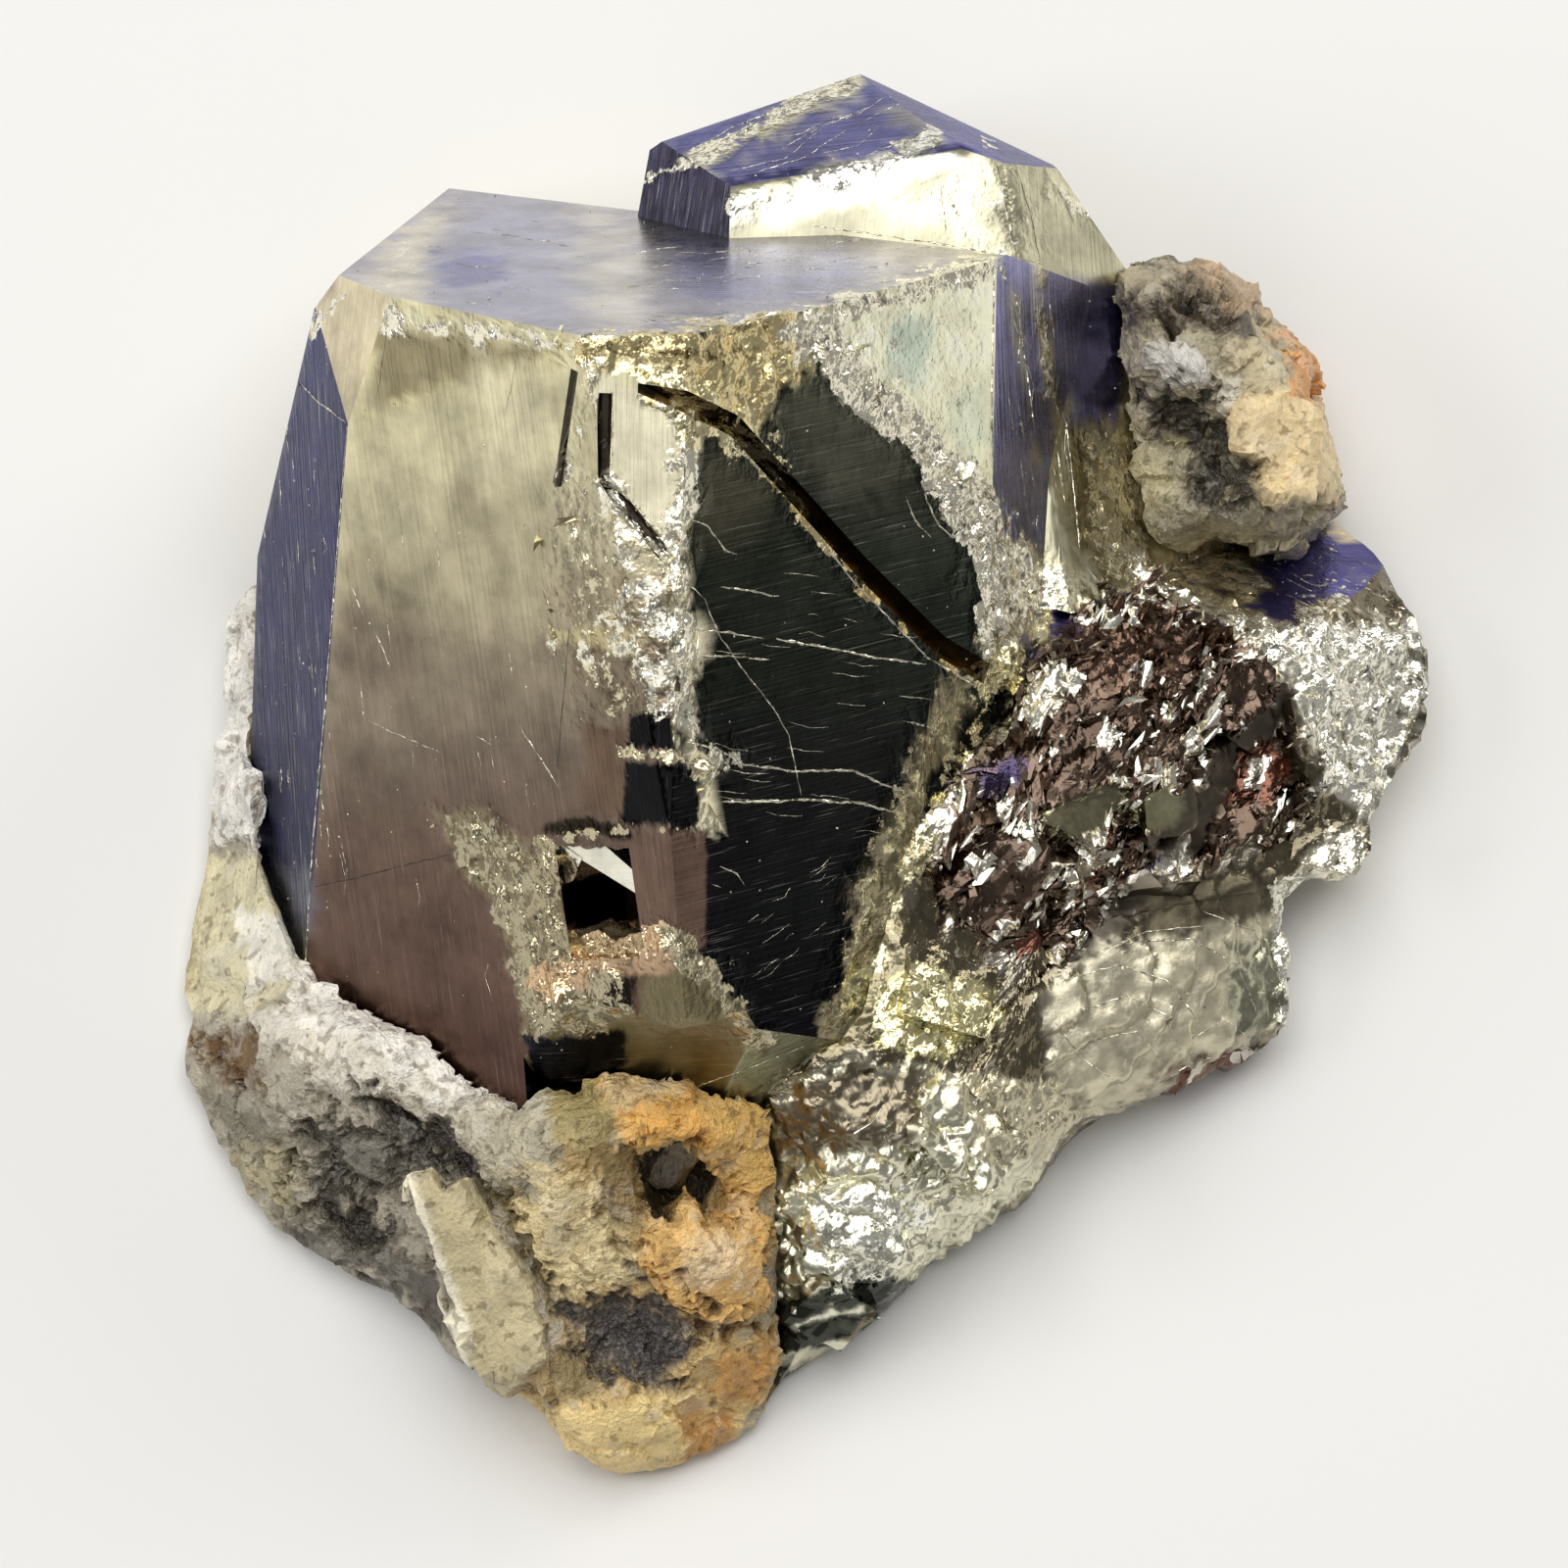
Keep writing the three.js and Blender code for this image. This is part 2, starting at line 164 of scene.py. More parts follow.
# How far inside a band along a path
def beside(allSpots, path, width, margin=130):
    path = np.array(path, float)
    near = np.all((allSpots > path.min(0) - margin) & (allSpots < path.max(0) + margin), 1)
    spots = allSpots[near]
    best = np.full(len(spots), 1e9)
    for a, b in zip(path[:-1], path[1:]):
        best = np.minimum(best, toSegment(spots, a, b))
    reach = np.full(len(allSpots), -1e3)
    reach[near] = width / 2 - best
    return reach


# Meshes

def solidOf(node):
    bm = bmesh.new()
    bm.from_mesh(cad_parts[node].data)
    bmesh.ops.remove_doubles(bm, verts=bm.verts, dist=2e-6)
    bmesh.ops.dissolve_limit(bm, angle_limit=math.radians(0.4), verts=bm.verts, edges=bm.edges)
    bmesh.ops.triangulate(bm, faces=bm.faces)
    bm.verts.ensure_lookup_table()
    points = upright([v.co[:] for v in bm.verts])
    tris = np.array([[v.index for v in f.verts] for f in bm.faces])
    bm.free()
    return points, tris


# Cuts the longest edges in half until none is longer than lengthAt allows there; front: share of a normal that
# has to point to the viewer
refining = {"passes": 60, "shortest": 0.18, "front": 0.12}


def refine(points, tris, tags, lengthAt):
    for step in range(refining["passes"]):
        ends = np.sort(np.stack([tris, np.roll(tris, -1, 1)], 2).reshape(-1, 2), 1).astype(np.int64)
        keys, back = np.unique(ends[:, 0] * len(points) + ends[:, 1], return_inverse=True)
        a, b = keys // len(points), keys % len(points)
        halfway = (points[a] + points[b]) / 2
        cross = np.cross(points[tris[:, 1]] - points[tris[:, 0]], points[tris[:, 2]] - points[tris[:, 0]])
        toViewer = cross[:, 2] > refining["front"] * np.linalg.norm(cross, axis=1)
        edgesOf = back.reshape(-1, 3)
        front = np.zeros(len(keys), bool)
        front[edgesOf[toViewer].ravel()] = True
        length = np.linalg.norm(points[a] - points[b], axis=1)
        longest = np.zeros(len(keys), bool)
        longest[edgesOf[np.arange(len(tris)), length[edgesOf].argmax(1)]] = True
        maybe = np.nonzero(longest & (length > refining["shortest"]))[0]
        isLong = np.zeros(len(keys), bool)
        isLong[maybe] = length[maybe] > lengthAt(halfway[maybe], front[maybe])
        if not isLong.any():
            break
        number = np.full(len(keys), -1)
        number[isLong] = len(points) + np.arange(isLong.sum())
        points = np.vstack([points, halfway[isLong]])
        cut = number[back].reshape(-1, 3)
        count = (cut >= 0).sum(1)
        made, madeTags = [tris[count == 0]], [tags[count == 0]]

        def keep(rows, *corners):
            made.append(np.stack(corners, 1))
            madeTags.append(tags[rows])

        for k in range(3):
            one = (count == 1) & (cut[:, k] >= 0)
            a, b, c = np.roll(tris[one], -k, 1).T
            m = cut[one, k]
            keep(one, a, m, c)
            keep(one, m, b, c)
            two = (count == 2) & (cut[:, k] < 0)
            a, b, c = np.roll(tris[two], -k - 1, 1).T
            m, n = np.roll(cut[two], -k - 1, 1).T[:2]
            keep(two, m, b, n)
            keep(two, a, m, n)
            keep(two, a, n, c)
        every = count == 3
        a, b, c = tris[every].T
        l, m, n = cut[every].T
        keep(every, a, l, n)
        keep(every, l, b, m)
        keep(every, n, m, c)
        keep(every, l, m, n)
        tris, tags = np.vstack(made), np.concatenate(madeTags)
    return points, tris, tags


def vertexNormals(points, tris):
    cross = np.cross(points[tris[:, 1]] - points[tris[:, 0]], points[tris[:, 2]] - points[tris[:, 0]])
    total = np.zeros_like(points)
    for k in range(3):
        np.add.at(total, tris[:, k], cross)
    return total / np.maximum(np.linalg.norm(total, axis=1, keepdims=True), 1e-12)


def meshOf(name, points, tris, values, colours, uv, sharp):
    mesh = bpy.data.meshes.new(name)
    mesh.from_pydata(laidDown(points).tolist(), [], tris.tolist())
    for key, array in values.items():
        domain = "POINT" if len(array) == len(points) else "CORNER"
        mesh.attributes.new(key, "FLOAT", domain).data.foreach_set("value", array.astype(np.float32))
    for key, array in colours.items():
        whole = np.ones((len(array), 4), np.float32)
        whole[:, :3] = array
        domain = "POINT" if len(array) == len(points) else "CORNER"
        mesh.attributes.new(key, "FLOAT_COLOR", domain).data.foreach_set("color", whole.ravel())
    if uv is not None:
        mesh.uv_layers.new(name="along").data.foreach_set("uv", uv.astype(np.float32).ravel())
    mesh.shade_smooth()
    mesh.set_sharp_from_angle(angle=math.radians(sharp))
    mesh.update()
    piece = bpy.data.objects.new(name, mesh)
    bpy.context.collection.objects.link(piece)
    return piece


# Crystal faces: degrees to the right of the viewer, degrees up, and a point on the face

crystalFaces = {
    "left": (-45.5, -11, (-5.8, 16.8, 8.5)),
    "right": (45.5, -5, (-5.8, 16.8, 8.5)),
    "edge": (2, -5, (-5.1, 7.6, 5.6)),
    "top": (0, 75.5, (-5.8, 16.8, 8.5)),
    "leftSide": (-67, -3.4, (-18.3, 4.3, -7.8)),
    "rightSide": (65, 1.3, (8.4, 16.4, -7.2)),
    "leftBevel": (-61, 0.3, (-16.5, 16.4, -2.5)),
    "rightBevel": (51, 2.6, (4.2, 14.6, -1.9)),
    "strip": (38, -50, (0.2, -9.8, -0.9)),
    "behindTop": (102, 80, (-12.8, 24.5, -21.2)),
    "behindBevel": (-90, 40.5, (-15.2, 23.1, -16)),
    "behindLeft": (-95, 19, (-21.4, 9.3, -14.3)),
    "behindLeftLow": (-95, 4, (-21.8, 0.9, -16.6)),
    "behindRight": (92, 0, (13.7, 12, -18)),
    "foot": (0, -88, (0, -14.5, 0)),
    "rearBlue": (-6, 58, (1.7, 25.3, -13.6)),
    "rearFront": (8, 10, (4, 23.8, -13)),
    "rearRight": (48, 12, (9.2, 25, -14.2)),
    "rearLeft": (-48, 8, (-4.6, 24.6, -15)),
    "rearStrip": (50, 64, (5.2, 27.4, -16.5)),
    "rearBackLeft": (-110, 64, (-2, 27.2, -18)),
    "rearBackRight": (104, 60, (6, 27.8, -19)),
    "rearLowRight": (100, 38, (12.6, 23, -18)),
    "rearLowLeft": (-100, 10, (-5.8, 24.4, -16)),
    "brokenTop": (16, 62, (19, 6, -12)),
    "cornerWall": (45.5, -5, (-10.3, -10.9, -3.8)),
    "cornerFloor": (-18, -42, (-3, -6.6, 2.6)),
    "cornerRoof": (180, -72, (-7.4, -8.6, 0)),
    "underside": (180, -20, (0, -6.16, -16.91)),
}
slotFaces = {"slotWall": (44.5, 0), "slotFar": (-135.5, 0), "slotRoof": (-45.5, -79), "slotSill": (-45.5, 79),
             "slotFloor": (-45.5, -11)}
slotPlace = {"centre": (-7, -4.6, 0.9), "reach": 6}

# Look of a face: colours from its top to its foot (Y in the front view, r, g, b), roughness, the way its growth lines
# run in degrees, and how strong they are. The colours are painted reflections and shade: blue, lavender and pale
# faces paint reflected lights, near-black faces paint reflected dark and the slot's dark walls its shade, and the
# left face and the edge are painted lighter at the top where the light falls.
faceLook = {
    "left": ([(380, 236, 228, 188), (520, 212, 204, 170), (640, 164, 153, 130), (760, 128, 115, 101), (880, 114, 94, 83),
              (1090, 100, 76, 67)], 0.3, 90, 0.22),
    "right": ([(400, 64, 67, 57), (600, 46, 50, 43), (800, 29, 31, 30), (1050, 17, 17, 21)], 0.16, 4, 0.3),
    "edge": ([(350, 232, 225, 186), (520, 208, 200, 166), (700, 148, 134, 112), (850, 118, 99, 87)], 0.26, 90, 0.3),
    "top": ([(210, 166, 163, 176), (350, 168, 165, 180)], 0.3, 4, 0.22),
    "leftSide": ([(400, 48, 50, 98), (560, 30, 32, 84), (780, 30, 31, 76), (900, 56, 58, 92), (1000, 150, 146, 128)],
                 0.3, 92, 1.0),
    "rightSide": ([(290, 136, 135, 176), (560, 136, 134, 168)], 0.26, 98, 0.7),
    "leftBevel": ([(300, 224, 212, 180), (430, 206, 194, 164)], 0.34, 60, 0.3),
    "rightBevel": ([(300, 250, 250, 222), (500, 242, 240, 206)], 0.3, 90, 0.06),
    "strip": ([(1050, 160, 160, 134), (1130, 130, 128, 102)], 0.3, 8, 0.4),
    "rearBlue": ([(80, 112, 112, 166), (200, 108, 108, 162)], 0.28, 14, 0.5),
    "rearFront": ([(140, 176, 172, 148), (270, 170, 166, 142)], 0.34, 80, 0.15),
    "rearRight": ([(150, 232, 228, 196), (280, 226, 222, 190)], 0.3, 80, 0.3),
    "rearLeft": ([(170, 84, 80, 104), (230, 76, 74, 92)], 0.24, 84, 1.0),
    "rearStrip": ([(70, 74, 73, 140), (160, 82, 80, 144)], 0.28, 40, 0.5),
    "brokenTop": ([(510, 92, 89, 158), (650, 84, 79, 148)], 0.3, 10, 0.5),
    "cornerWall": ([(1000, 34, 34, 40), (1120, 24, 24, 30)], 0.16, 10, 0.4),
    "cornerFloor": ([(990, 140, 130, 100), (1110, 118, 110, 82)], 0.36, 20, 0.3),
    "cornerRoof": ([(900, 130, 116, 94), (1000, 120, 106, 86)], 0.4, 10, 0.3),
    "slotWall": ([(860, 44, 44, 50), (980, 30, 30, 36)], 0.14, 10, 0.3),
    "slotFar": ([(860, 100, 90, 76), (980, 70, 62, 54)], 0.3, 10, 0.3),
    "slotRoof": ([(860, 70, 62, 54), (980, 70, 62, 54)], 0.3, 10, 0.3),
    "slotSill": ([(860, 130, 110, 86), (980, 120, 102, 80)], 0.4, 10, 0.3),
    "slotFloor": ([(860, 50, 48, 48), (980, 40, 38, 40)], 0.16, 10, 0.3),
}
plainLook = ([(0, 176, 168, 136), (1600, 160, 150, 120)], 0.3, 90, 0.35)
# Blue and cream of the painted reflections, spread as clouds of this size in mm over faces out of view
unseenPaintedReflection = {"tint": (92, 92, 134), "cream": (218, 210, 178), "size": 7.0}
shatteredLook = ([(560, 120, 112, 92), (1450, 128, 120, 98)], 0.22, 30, 0.0)

# Patches on the pyrite: outline (or path and width) and colour, with one of these kinds of surface.
# grain: pitted, foil: crumpled, big: broken facets, swirl: shell-like break, shards: splinters on it,
# glint: share of bright facets, soft and wobble: width and unevenness of the margin, on: only these faces
smooth = dict(soft=6, wobble=5, gloss=0.24)
foil = dict(grain=0.15, foil=0.55, glint=0.4, shards=0.03, soft=9, wobble=11, gloss=0.3)
crumbs = dict(grain=0.4, foil=0.3, glint=0.4, shards=0.05, soft=8, wobble=10, gloss=0.32)
splinters = dict(grain=0.3, foil=0.12, big=0.7, glint=0.34, shards=1.0, soft=26, wobble=20, gloss=0.22)
shell = dict(grain=0.1, swirl=1.0, glint=0.2, shards=0.02, soft=14, wobble=12, gloss=0.48)
furrow = [(663, 393), (709, 416), (749, 436), (792, 466), (835, 519), (878, 576), (925, 625), (958, 658), (1008, 688)]
pyritePatches = [
    # top face: its blue, lavender and cream patches are painted reflections
    dict(smooth, area=[(352, 297), (419, 222), (455, 207), (450, 250), (440, 300), (400, 322)], tint=(208, 201, 184),
         on=("top",), soft=40, wobble=30, grain=0.2),
    dict(smooth, area=[(440, 262), (490, 203), (570, 208), (596, 236), (606, 300), (570, 338), (480, 320), (440, 300)],
         tint=(150, 150, 172), on=("top",), soft=22, wobble=14),
    dict(smooth, area=[(446, 260), (478, 258), (512, 268), (518, 290), (490, 299), (456, 292)], tint=(96, 99, 154),
         on=("top",), soft=16, wobble=16),
    dict(smooth, area=[(592, 212), (664, 216), (672, 345), (602, 352)], tint=(192, 187, 180), on=("top",), soft=50,
         wobble=34),
    dict(smooth, area=[(690, 252), (790, 252), (890, 270), (850, 300), (740, 312), (690, 300)], tint=(132, 134, 172),
         on=("top",), soft=24, wobble=18),
    dict(crumbs, path=[(594, 356), (653, 346), (759, 333), (832, 322), (875, 312), (958, 287), (1008, 268)], width=17,
         tint=(246, 240, 206)),
    dict(crumbs, path=[(386, 324), (495, 337), (545, 344), (594, 358)], width=12, tint=(255, 248, 214), wobble=7),
    dict(smooth, area=[(372, 336), (392, 330), (495, 343), (590, 362), (575, 372), (478, 392), (380, 418)],
         tint=(160, 150, 118), on=("left",), soft=14),
    dict(smooth, path=[(376, 420), (445, 400), (478, 384), (528, 370), (578, 362)], width=8, tint=(232, 222, 176),
         grain=0.3),
    # left face: soft clouds
    dict(smooth, area=[(430, 500), (520, 470), (560, 560), (520, 640), (440, 620)], tint=(186, 177, 148), on=("left",),
         soft=60, wobble=40, gloss=0.3),
    dict(smooth, area=[(350, 640), (400, 620), (440, 700), (400, 780), (340, 760)], tint=(140, 127, 111), on=("left",),
         soft=60, wobble=40, gloss=0.3),
    dict(smooth, area=[(470, 400), (540, 380), (560, 470), (500, 480)], tint=(228, 220, 186), on=("left",), soft=50,
         wobble=30, gloss=0.3),
    # crumpled gold below the top face
    dict(foil, area=[(588, 356), (660, 347), (760, 337), (838, 326), (850, 345), (836, 375), (800, 402), (790, 424),
                     (764, 448), (740, 436), (700, 418), (664, 396), (640, 374), (600, 374)], tint=(236, 222, 172)),
    dict(crumbs, area=[(668, 358), (760, 350), (800, 354), (770, 368), (700, 376)], tint=(112, 96, 62)),
    # worn edge between the two large faces
    dict(smooth, area=[(600, 380), (664, 398), (700, 428), (714, 470), (704, 520), (690, 566), (642, 512), (612, 484)],
         tint=(222, 215, 186)),
    dict(crumbs, area=[(694, 428), (722, 446), (716, 480), (706, 540), (690, 566), (684, 520), (704, 470)],
         tint=(222, 212, 176)),
    dict(crumbs, area=[(584, 486), (612, 492), (642, 528), (690, 580), (660, 600), (574, 590), (566, 560)],
         tint=(196, 187, 158), foil=0.2, soft=20, wobble=22),
    dict(crumbs, area=[(568, 570), (690, 580), (696, 640), (690, 670), (584, 668)], tint=(172, 160, 134), foil=0.2, soft=20,
         wobble=22),
    dict(crumbs, area=[(580, 650), (698, 650), (706, 700), (700, 750), (640, 735), (604, 742), (592, 700)],
         tint=(142, 128, 107), foil=0.15, soft=20, wobble=22),
    dict(foil, path=[(690, 560), (697, 640), (706, 700), (700, 752), (716, 800), (722, 842)], width=20,
         tint=(240, 232, 200)),
    dict(crumbs, path=[(566, 650), (600, 648), (640, 660)], width=16, tint=(206, 194, 152)),
    # facets parallel to the right face are painted near-black as its reflected dark; the brown ones take the left
    # face's painted shade
    dict(smooth, area=[(598, 738), (640, 744), (640, 836), (596, 826)], tint=(112, 93, 78)),
    dict(smooth, area=[(642, 728), (682, 726), (688, 766), (640, 764)], tint=(26, 26, 28), gloss=0.14, soft=3, wobble=2),
    dict(smooth, area=[(638, 776), (712, 784), (714, 842), (636, 842)], tint=(26, 26, 28), gloss=0.14, soft=3, wobble=2),
    dict(smooth, area=[(634, 850), (720, 846), (721, 968), (676, 974), (640, 960)], tint=(116, 94, 82), soft=3, wobble=2,
         gloss=0.28),
    # margins of the right face
    dict(foil, area=[(936, 452), (985, 478), (1018, 500), (1034, 560), (1054, 612), (1038, 684), (1010, 702),
                     (998, 662), (1014, 622), (998, 586), (988, 520), (958, 482)], tint=(250, 242, 206)),
    dict(foil, path=[(842, 362), (880, 398), (930, 436), (970, 486), (984, 506)], width=28, tint=(252, 246, 214)),
    # grey-green patches on the right face are painted reflection
    dict(smooth, area=[(792, 412), (828, 388), (868, 386), (900, 422), (930, 446), (940, 480), (900, 500), (850, 500),
                       (806, 450)], tint=(88, 88, 76), on=("right", "edge"), soft=26, wobble=14),
    dict(smooth, area=[(692, 446), (746, 466), (790, 520), (740, 560), (700, 540)], tint=(86, 84, 70), on=("right",),
         soft=44, wobble=16),
    dict(crumbs, area=[(960, 690), (1000, 690), (984, 736), (952, 800), (932, 872), (906, 936), (884, 1012),
                       (846, 1060), (836, 1048), (862, 1000), (878, 908), (900, 866), (922, 806), (940, 760)],
         tint=(160, 150, 120)),
    # right side: pale growth bands
    dict(smooth, path=[(1056, 276), (1072, 380), (1090, 500), (1104, 590)], width=14, tint=(204, 198, 170),
         on=("rightSide",), wobble=4),
    dict(smooth, path=[(1034, 300), (1046, 400), (1058, 470)], width=7, tint=(180, 176, 166), on=("rightSide",), wobble=4),
    dict(smooth, path=[(1100, 440), (1112, 520), (1122, 584)], width=9, tint=(188, 182, 160),
         on=("rightSide", "rearRight"), wobble=4),
    dict(crumbs, area=[(1020, 540), (1060, 560), (1095, 600), (1060, 660), (1030, 610)], tint=(222, 214, 180), soft=10,
         wobble=12),
    # blue on the rear crystal's right faces is painted reflection
    dict(smooth, area=[(1080, 290), (1150, 290), (1150, 370), (1140, 440), (1090, 440)], tint=(118, 116, 160),
         on=("rearRight", "behindRight", "rearLowRight"), soft=12),
    dict(smooth, area=[(1090, 440), (1140, 440), (1170, 450), (1170, 545), (1132, 584), (1100, 570)],
         tint=(176, 164, 120), on=("rearRight", "rightSide", "behindRight"), soft=10, wobble=10, grain=0.3),
    dict(crumbs, area=[(1108, 430), (1176, 440), (1180, 606), (1116, 592)], tint=(176, 166, 136), foil=0.5, grain=0.3,
         soft=14, wobble=16),
    # upper right bevel: pale painted reflection
    dict(smooth, area=[(905, 330), (950, 320), (960, 380), (930, 400), (900, 370)], tint=(214, 226, 208),
         on=("rightBevel",), soft=24, wobble=20),
    dict(smooth, area=[(960, 400), (1005, 390), (1008, 450), (976, 470)], tint=(218, 224, 200), on=("rightBevel",),
         soft=24, wobble=20),
    # lower foot of the left side
    dict(smooth, area=[(256, 890), (322, 890), (318, 940), (270, 936)], tint=(110, 112, 128), on=("leftSide", "left"),
         soft=8),
    # rear crystal
    dict(smooth, area=[(668, 178), (852, 86), (884, 72), (888, 80), (858, 96), (690, 184)], tint=(228, 222, 188), grain=0.3,
         on=("rearBlue", "rearBackLeft")),
    dict(smooth, path=[(700, 192), (800, 140), (880, 100)], width=5, tint=(190, 188, 190), on=("rearBlue",), wobble=3),
    dict(crumbs, area=[(752, 200), (850, 168), (945, 138), (958, 148), (850, 186), (776, 212)], tint=(238, 234, 206),
         on=("rearBlue", "rearFront"), soft=5, shards=0),
    dict(smooth, area=[(905, 104), (940, 118), (975, 148), (955, 144), (905, 118)], tint=(170, 168, 172),
         on=("rearBlue",), soft=8, wobble=8),
    dict(smooth, area=[(715, 222), (760, 208), (850, 184), (950, 156), (985, 162), (900, 196), (800, 226)],
         tint=(222, 220, 206), on=("rearFront",), soft=8, wobble=5),
    dict(smooth, area=[(900, 200), (1010, 168), (1020, 240), (930, 236)], tint=(208, 202, 170),
         on=("rearFront", "rearRight"), soft=16, wobble=12),
    # broken crystal at the right: blue and cream top, crust of grains, dark glassy break
    dict(smooth, area=[(1180, 574), (1233, 552), (1276, 562), (1296, 598), (1276, 614), (1240, 606), (1205, 592)],
         tint=(204, 190, 154), on=("brokenTop",), wobble=8),
    dict(smooth, area=[(1322, 616), (1372, 610), (1378, 650), (1328, 656)], tint=(204, 192, 154), on=("brokenTop",)),
    dict(smooth, area=[(1362, 520), (1390, 545), (1384, 560), (1352, 540)], tint=(216, 204, 170), on=("brokenTop",)),
    dict(foil, path=[(1186, 588), (1214, 606), (1275, 642), (1324, 662), (1407, 650), (1450, 652)], width=36,
         tint=(238, 230, 200), wobble=12),
    dict(splinters, area=[(1060, 660), (1106, 616), (1180, 594), (1240, 626), (1296, 668), (1322, 700), (1330, 760),
                          (1310, 830), (1250, 880), (1190, 920), (1140, 960), (1080, 985), (1010, 980), (960, 910),
                          (930, 852), (990, 780), (1044, 724)], tint=(104, 88, 76)),
    dict(splinters, area=[(1090, 640), (1180, 610), (1250, 660), (1180, 690), (1110, 690)], tint=(98, 78, 66), glint=0.26,
         soft=26, wobble=18),
    dict(shell, path=[(1330, 690), (1250, 790), (1180, 880), (1110, 990)], width=40, tint=(100, 93, 82), swirl=0.5,
         shards=0.1, soft=14, wobble=14),
    dict(foil, area=[(1300, 660), (1430, 632), (1459, 690), (1445, 760), (1400, 836), (1344, 806), (1330, 724)],
         tint=(250, 246, 226), foil=0.6, big=0.3, shards=0, soft=30, wobble=26),
    dict(splinters, area=[(1300, 780), (1344, 800), (1330, 840), (1300, 850)], tint=(74, 60, 50), glint=0.25),
    dict(smooth, area=[(1246, 822), (1262, 786), (1290, 758), (1310, 756), (1318, 780), (1290, 824)], tint=(116, 80, 66),
         grain=0.4, big=0.6, shards=0.5, glint=0.1, wobble=12),
    dict(smooth, area=[(1098, 924), (1106, 884), (1116, 852), (1134, 852), (1130, 892), (1112, 928)], tint=(140, 100, 82),
         grain=0.4, big=0.6, shards=0.4, glint=0.1, wobble=9),
    dict(smooth, area=[(1030, 956), (1060, 948), (1068, 972), (1036, 980)], tint=(122, 82, 68), grain=0.5, shards=0.2,
         glint=0.1, wobble=8),
    dict(smooth, area=[(1156, 884), (1204, 870), (1200, 888), (1166, 893)], tint=(58, 54, 110), wobble=7, big=0.5),
    dict(smooth, area=[(1000, 786), (1045, 766), (1040, 800), (1005, 816)], tint=(70, 62, 88), grain=0.5, shards=0.4,
         glint=0.1, soft=14, wobble=10),
    dict(smooth, area=[(1066, 832), (1110, 804), (1148, 806), (1136, 838), (1118, 856), (1074, 852)], tint=(144, 140, 114),
         wobble=8, shards=0.1),
    dict(smooth, area=[(1156, 818), (1186, 802), (1204, 812), (1200, 844), (1164, 848)], tint=(190, 186, 150), wobble=7,
         shards=0.1, gloss=0.16),
    dict(foil, area=[(1325, 850), (1395, 842), (1404, 880), (1370, 900), (1326, 898)], tint=(240, 234, 206), foil=0.4),
    # shell-like break below it
    dict(shell, area=[(1060, 1010), (1130, 966), (1200, 936), (1300, 918), (1318, 1031), (1304, 1062), (1240, 1098),
                      (1160, 1134), (1100, 1134), (1074, 1090)], tint=(228, 221, 194)),
    dict(shell, area=[(1180, 900), (1300, 890), (1306, 926), (1200, 956), (1140, 970)], tint=(104, 97, 80), swirl=0.7),
    dict(foil, area=[(1250, 966), (1316, 946), (1318, 1040), (1262, 1060)], tint=(196, 196, 170), foil=0.35, swirl=0.4),
    dict(splinters, area=[(1196, 1094), (1290, 1056), (1316, 1062), (1240, 1106), (1160, 1142)], tint=(96, 70, 58),
         glint=0.3, shards=0, big=0.4),
    dict(foil, area=[(888, 1004), (936, 984), (1013, 1000), (1014, 1046), (968, 1082), (900, 1072)], tint=(226, 218, 164)),
    dict(foil, path=[(930, 850), (900, 930), (886, 1010), (850, 1062)], width=40, tint=(152, 143, 114), foil=0.35,
         soft=12, wobble=12),
    # bright crumpled foot
    dict(foil, area=[(786, 1120), (860, 1072), (960, 1090), (1064, 1136), (1080, 1178), (1000, 1256), (900, 1336),
                     (800, 1396), (778, 1300), (772, 1200)], tint=(226, 223, 198), foil=0.75),
    dict(foil, area=[(786, 1126), (860, 1078), (930, 1096), (960, 1150), (900, 1170), (830, 1190), (788, 1200)],
         tint=(140, 130, 110), soft=30, wobble=24),
    # brightest spot of the foot: a painted highlight
    dict(foil, area=[(820, 1230), (900, 1200), (950, 1230), (910, 1310), (850, 1320)], tint=(246, 244, 224), foil=0.7,
         soft=40, wobble=24),
    dict(foil, area=[(960, 1092), (1080, 1110), (1140, 1136), (1100, 1150), (1070, 1184), (1004, 1180), (980, 1140)],
         tint=(216, 209, 182), foil=0.5, gloss=0.4),
    dict(smooth, area=[(772, 1336), (880, 1300), (936, 1306), (890, 1352), (800, 1404), (776, 1440)], tint=(74, 76, 68),
         swirl=0.4, shards=0.05, glint=0.4, wobble=10, gloss=0.16),
    dict(smooth, path=[(814, 1352), (850, 1340), (882, 1340)], width=9, tint=(226, 224, 202), wobble=6),
    dict(smooth, path=[(800, 1388), (836, 1380), (866, 1372)], width=9, tint=(220, 218, 194), wobble=6),
    dict(crumbs, path=[(778, 1380), (782, 1420), (774, 1450)], width=18, tint=(206, 196, 146)),
    # notch at the foot of the main crystal
    dict(crumbs, area=[(440, 828), (484, 822), (524, 850), (562, 866), (574, 930), (600, 975), (640, 990), (652, 1036),
                       (602, 1066), (540, 1060), (522, 1013), (502, 934), (462, 884)], tint=(140, 128, 102), soft=9,
         wobble=12),
    dict(foil, area=[(560, 990), (600, 964), (660, 950), (700, 962), (720, 990), (690, 1004), (640, 996), (600, 1030),
                     (560, 1040)], tint=(196, 166, 136)),
    dict(smooth, area=[(606, 1000), (652, 996), (650, 1030), (612, 1028)], tint=(38, 32, 24)),
    dict(smooth, area=[(650, 996), (722, 988), (768, 1056), (740, 1062), (690, 1060), (650, 1050)], tint=(128, 118, 90),
         grain=0.35, soft=8, gloss=0.34),
    dict(smooth, area=[(536, 1058), (600, 1056), (640, 1044), (640, 1090), (600, 1112), (544, 1118)], tint=(28, 28, 34),
         gloss=0.14),
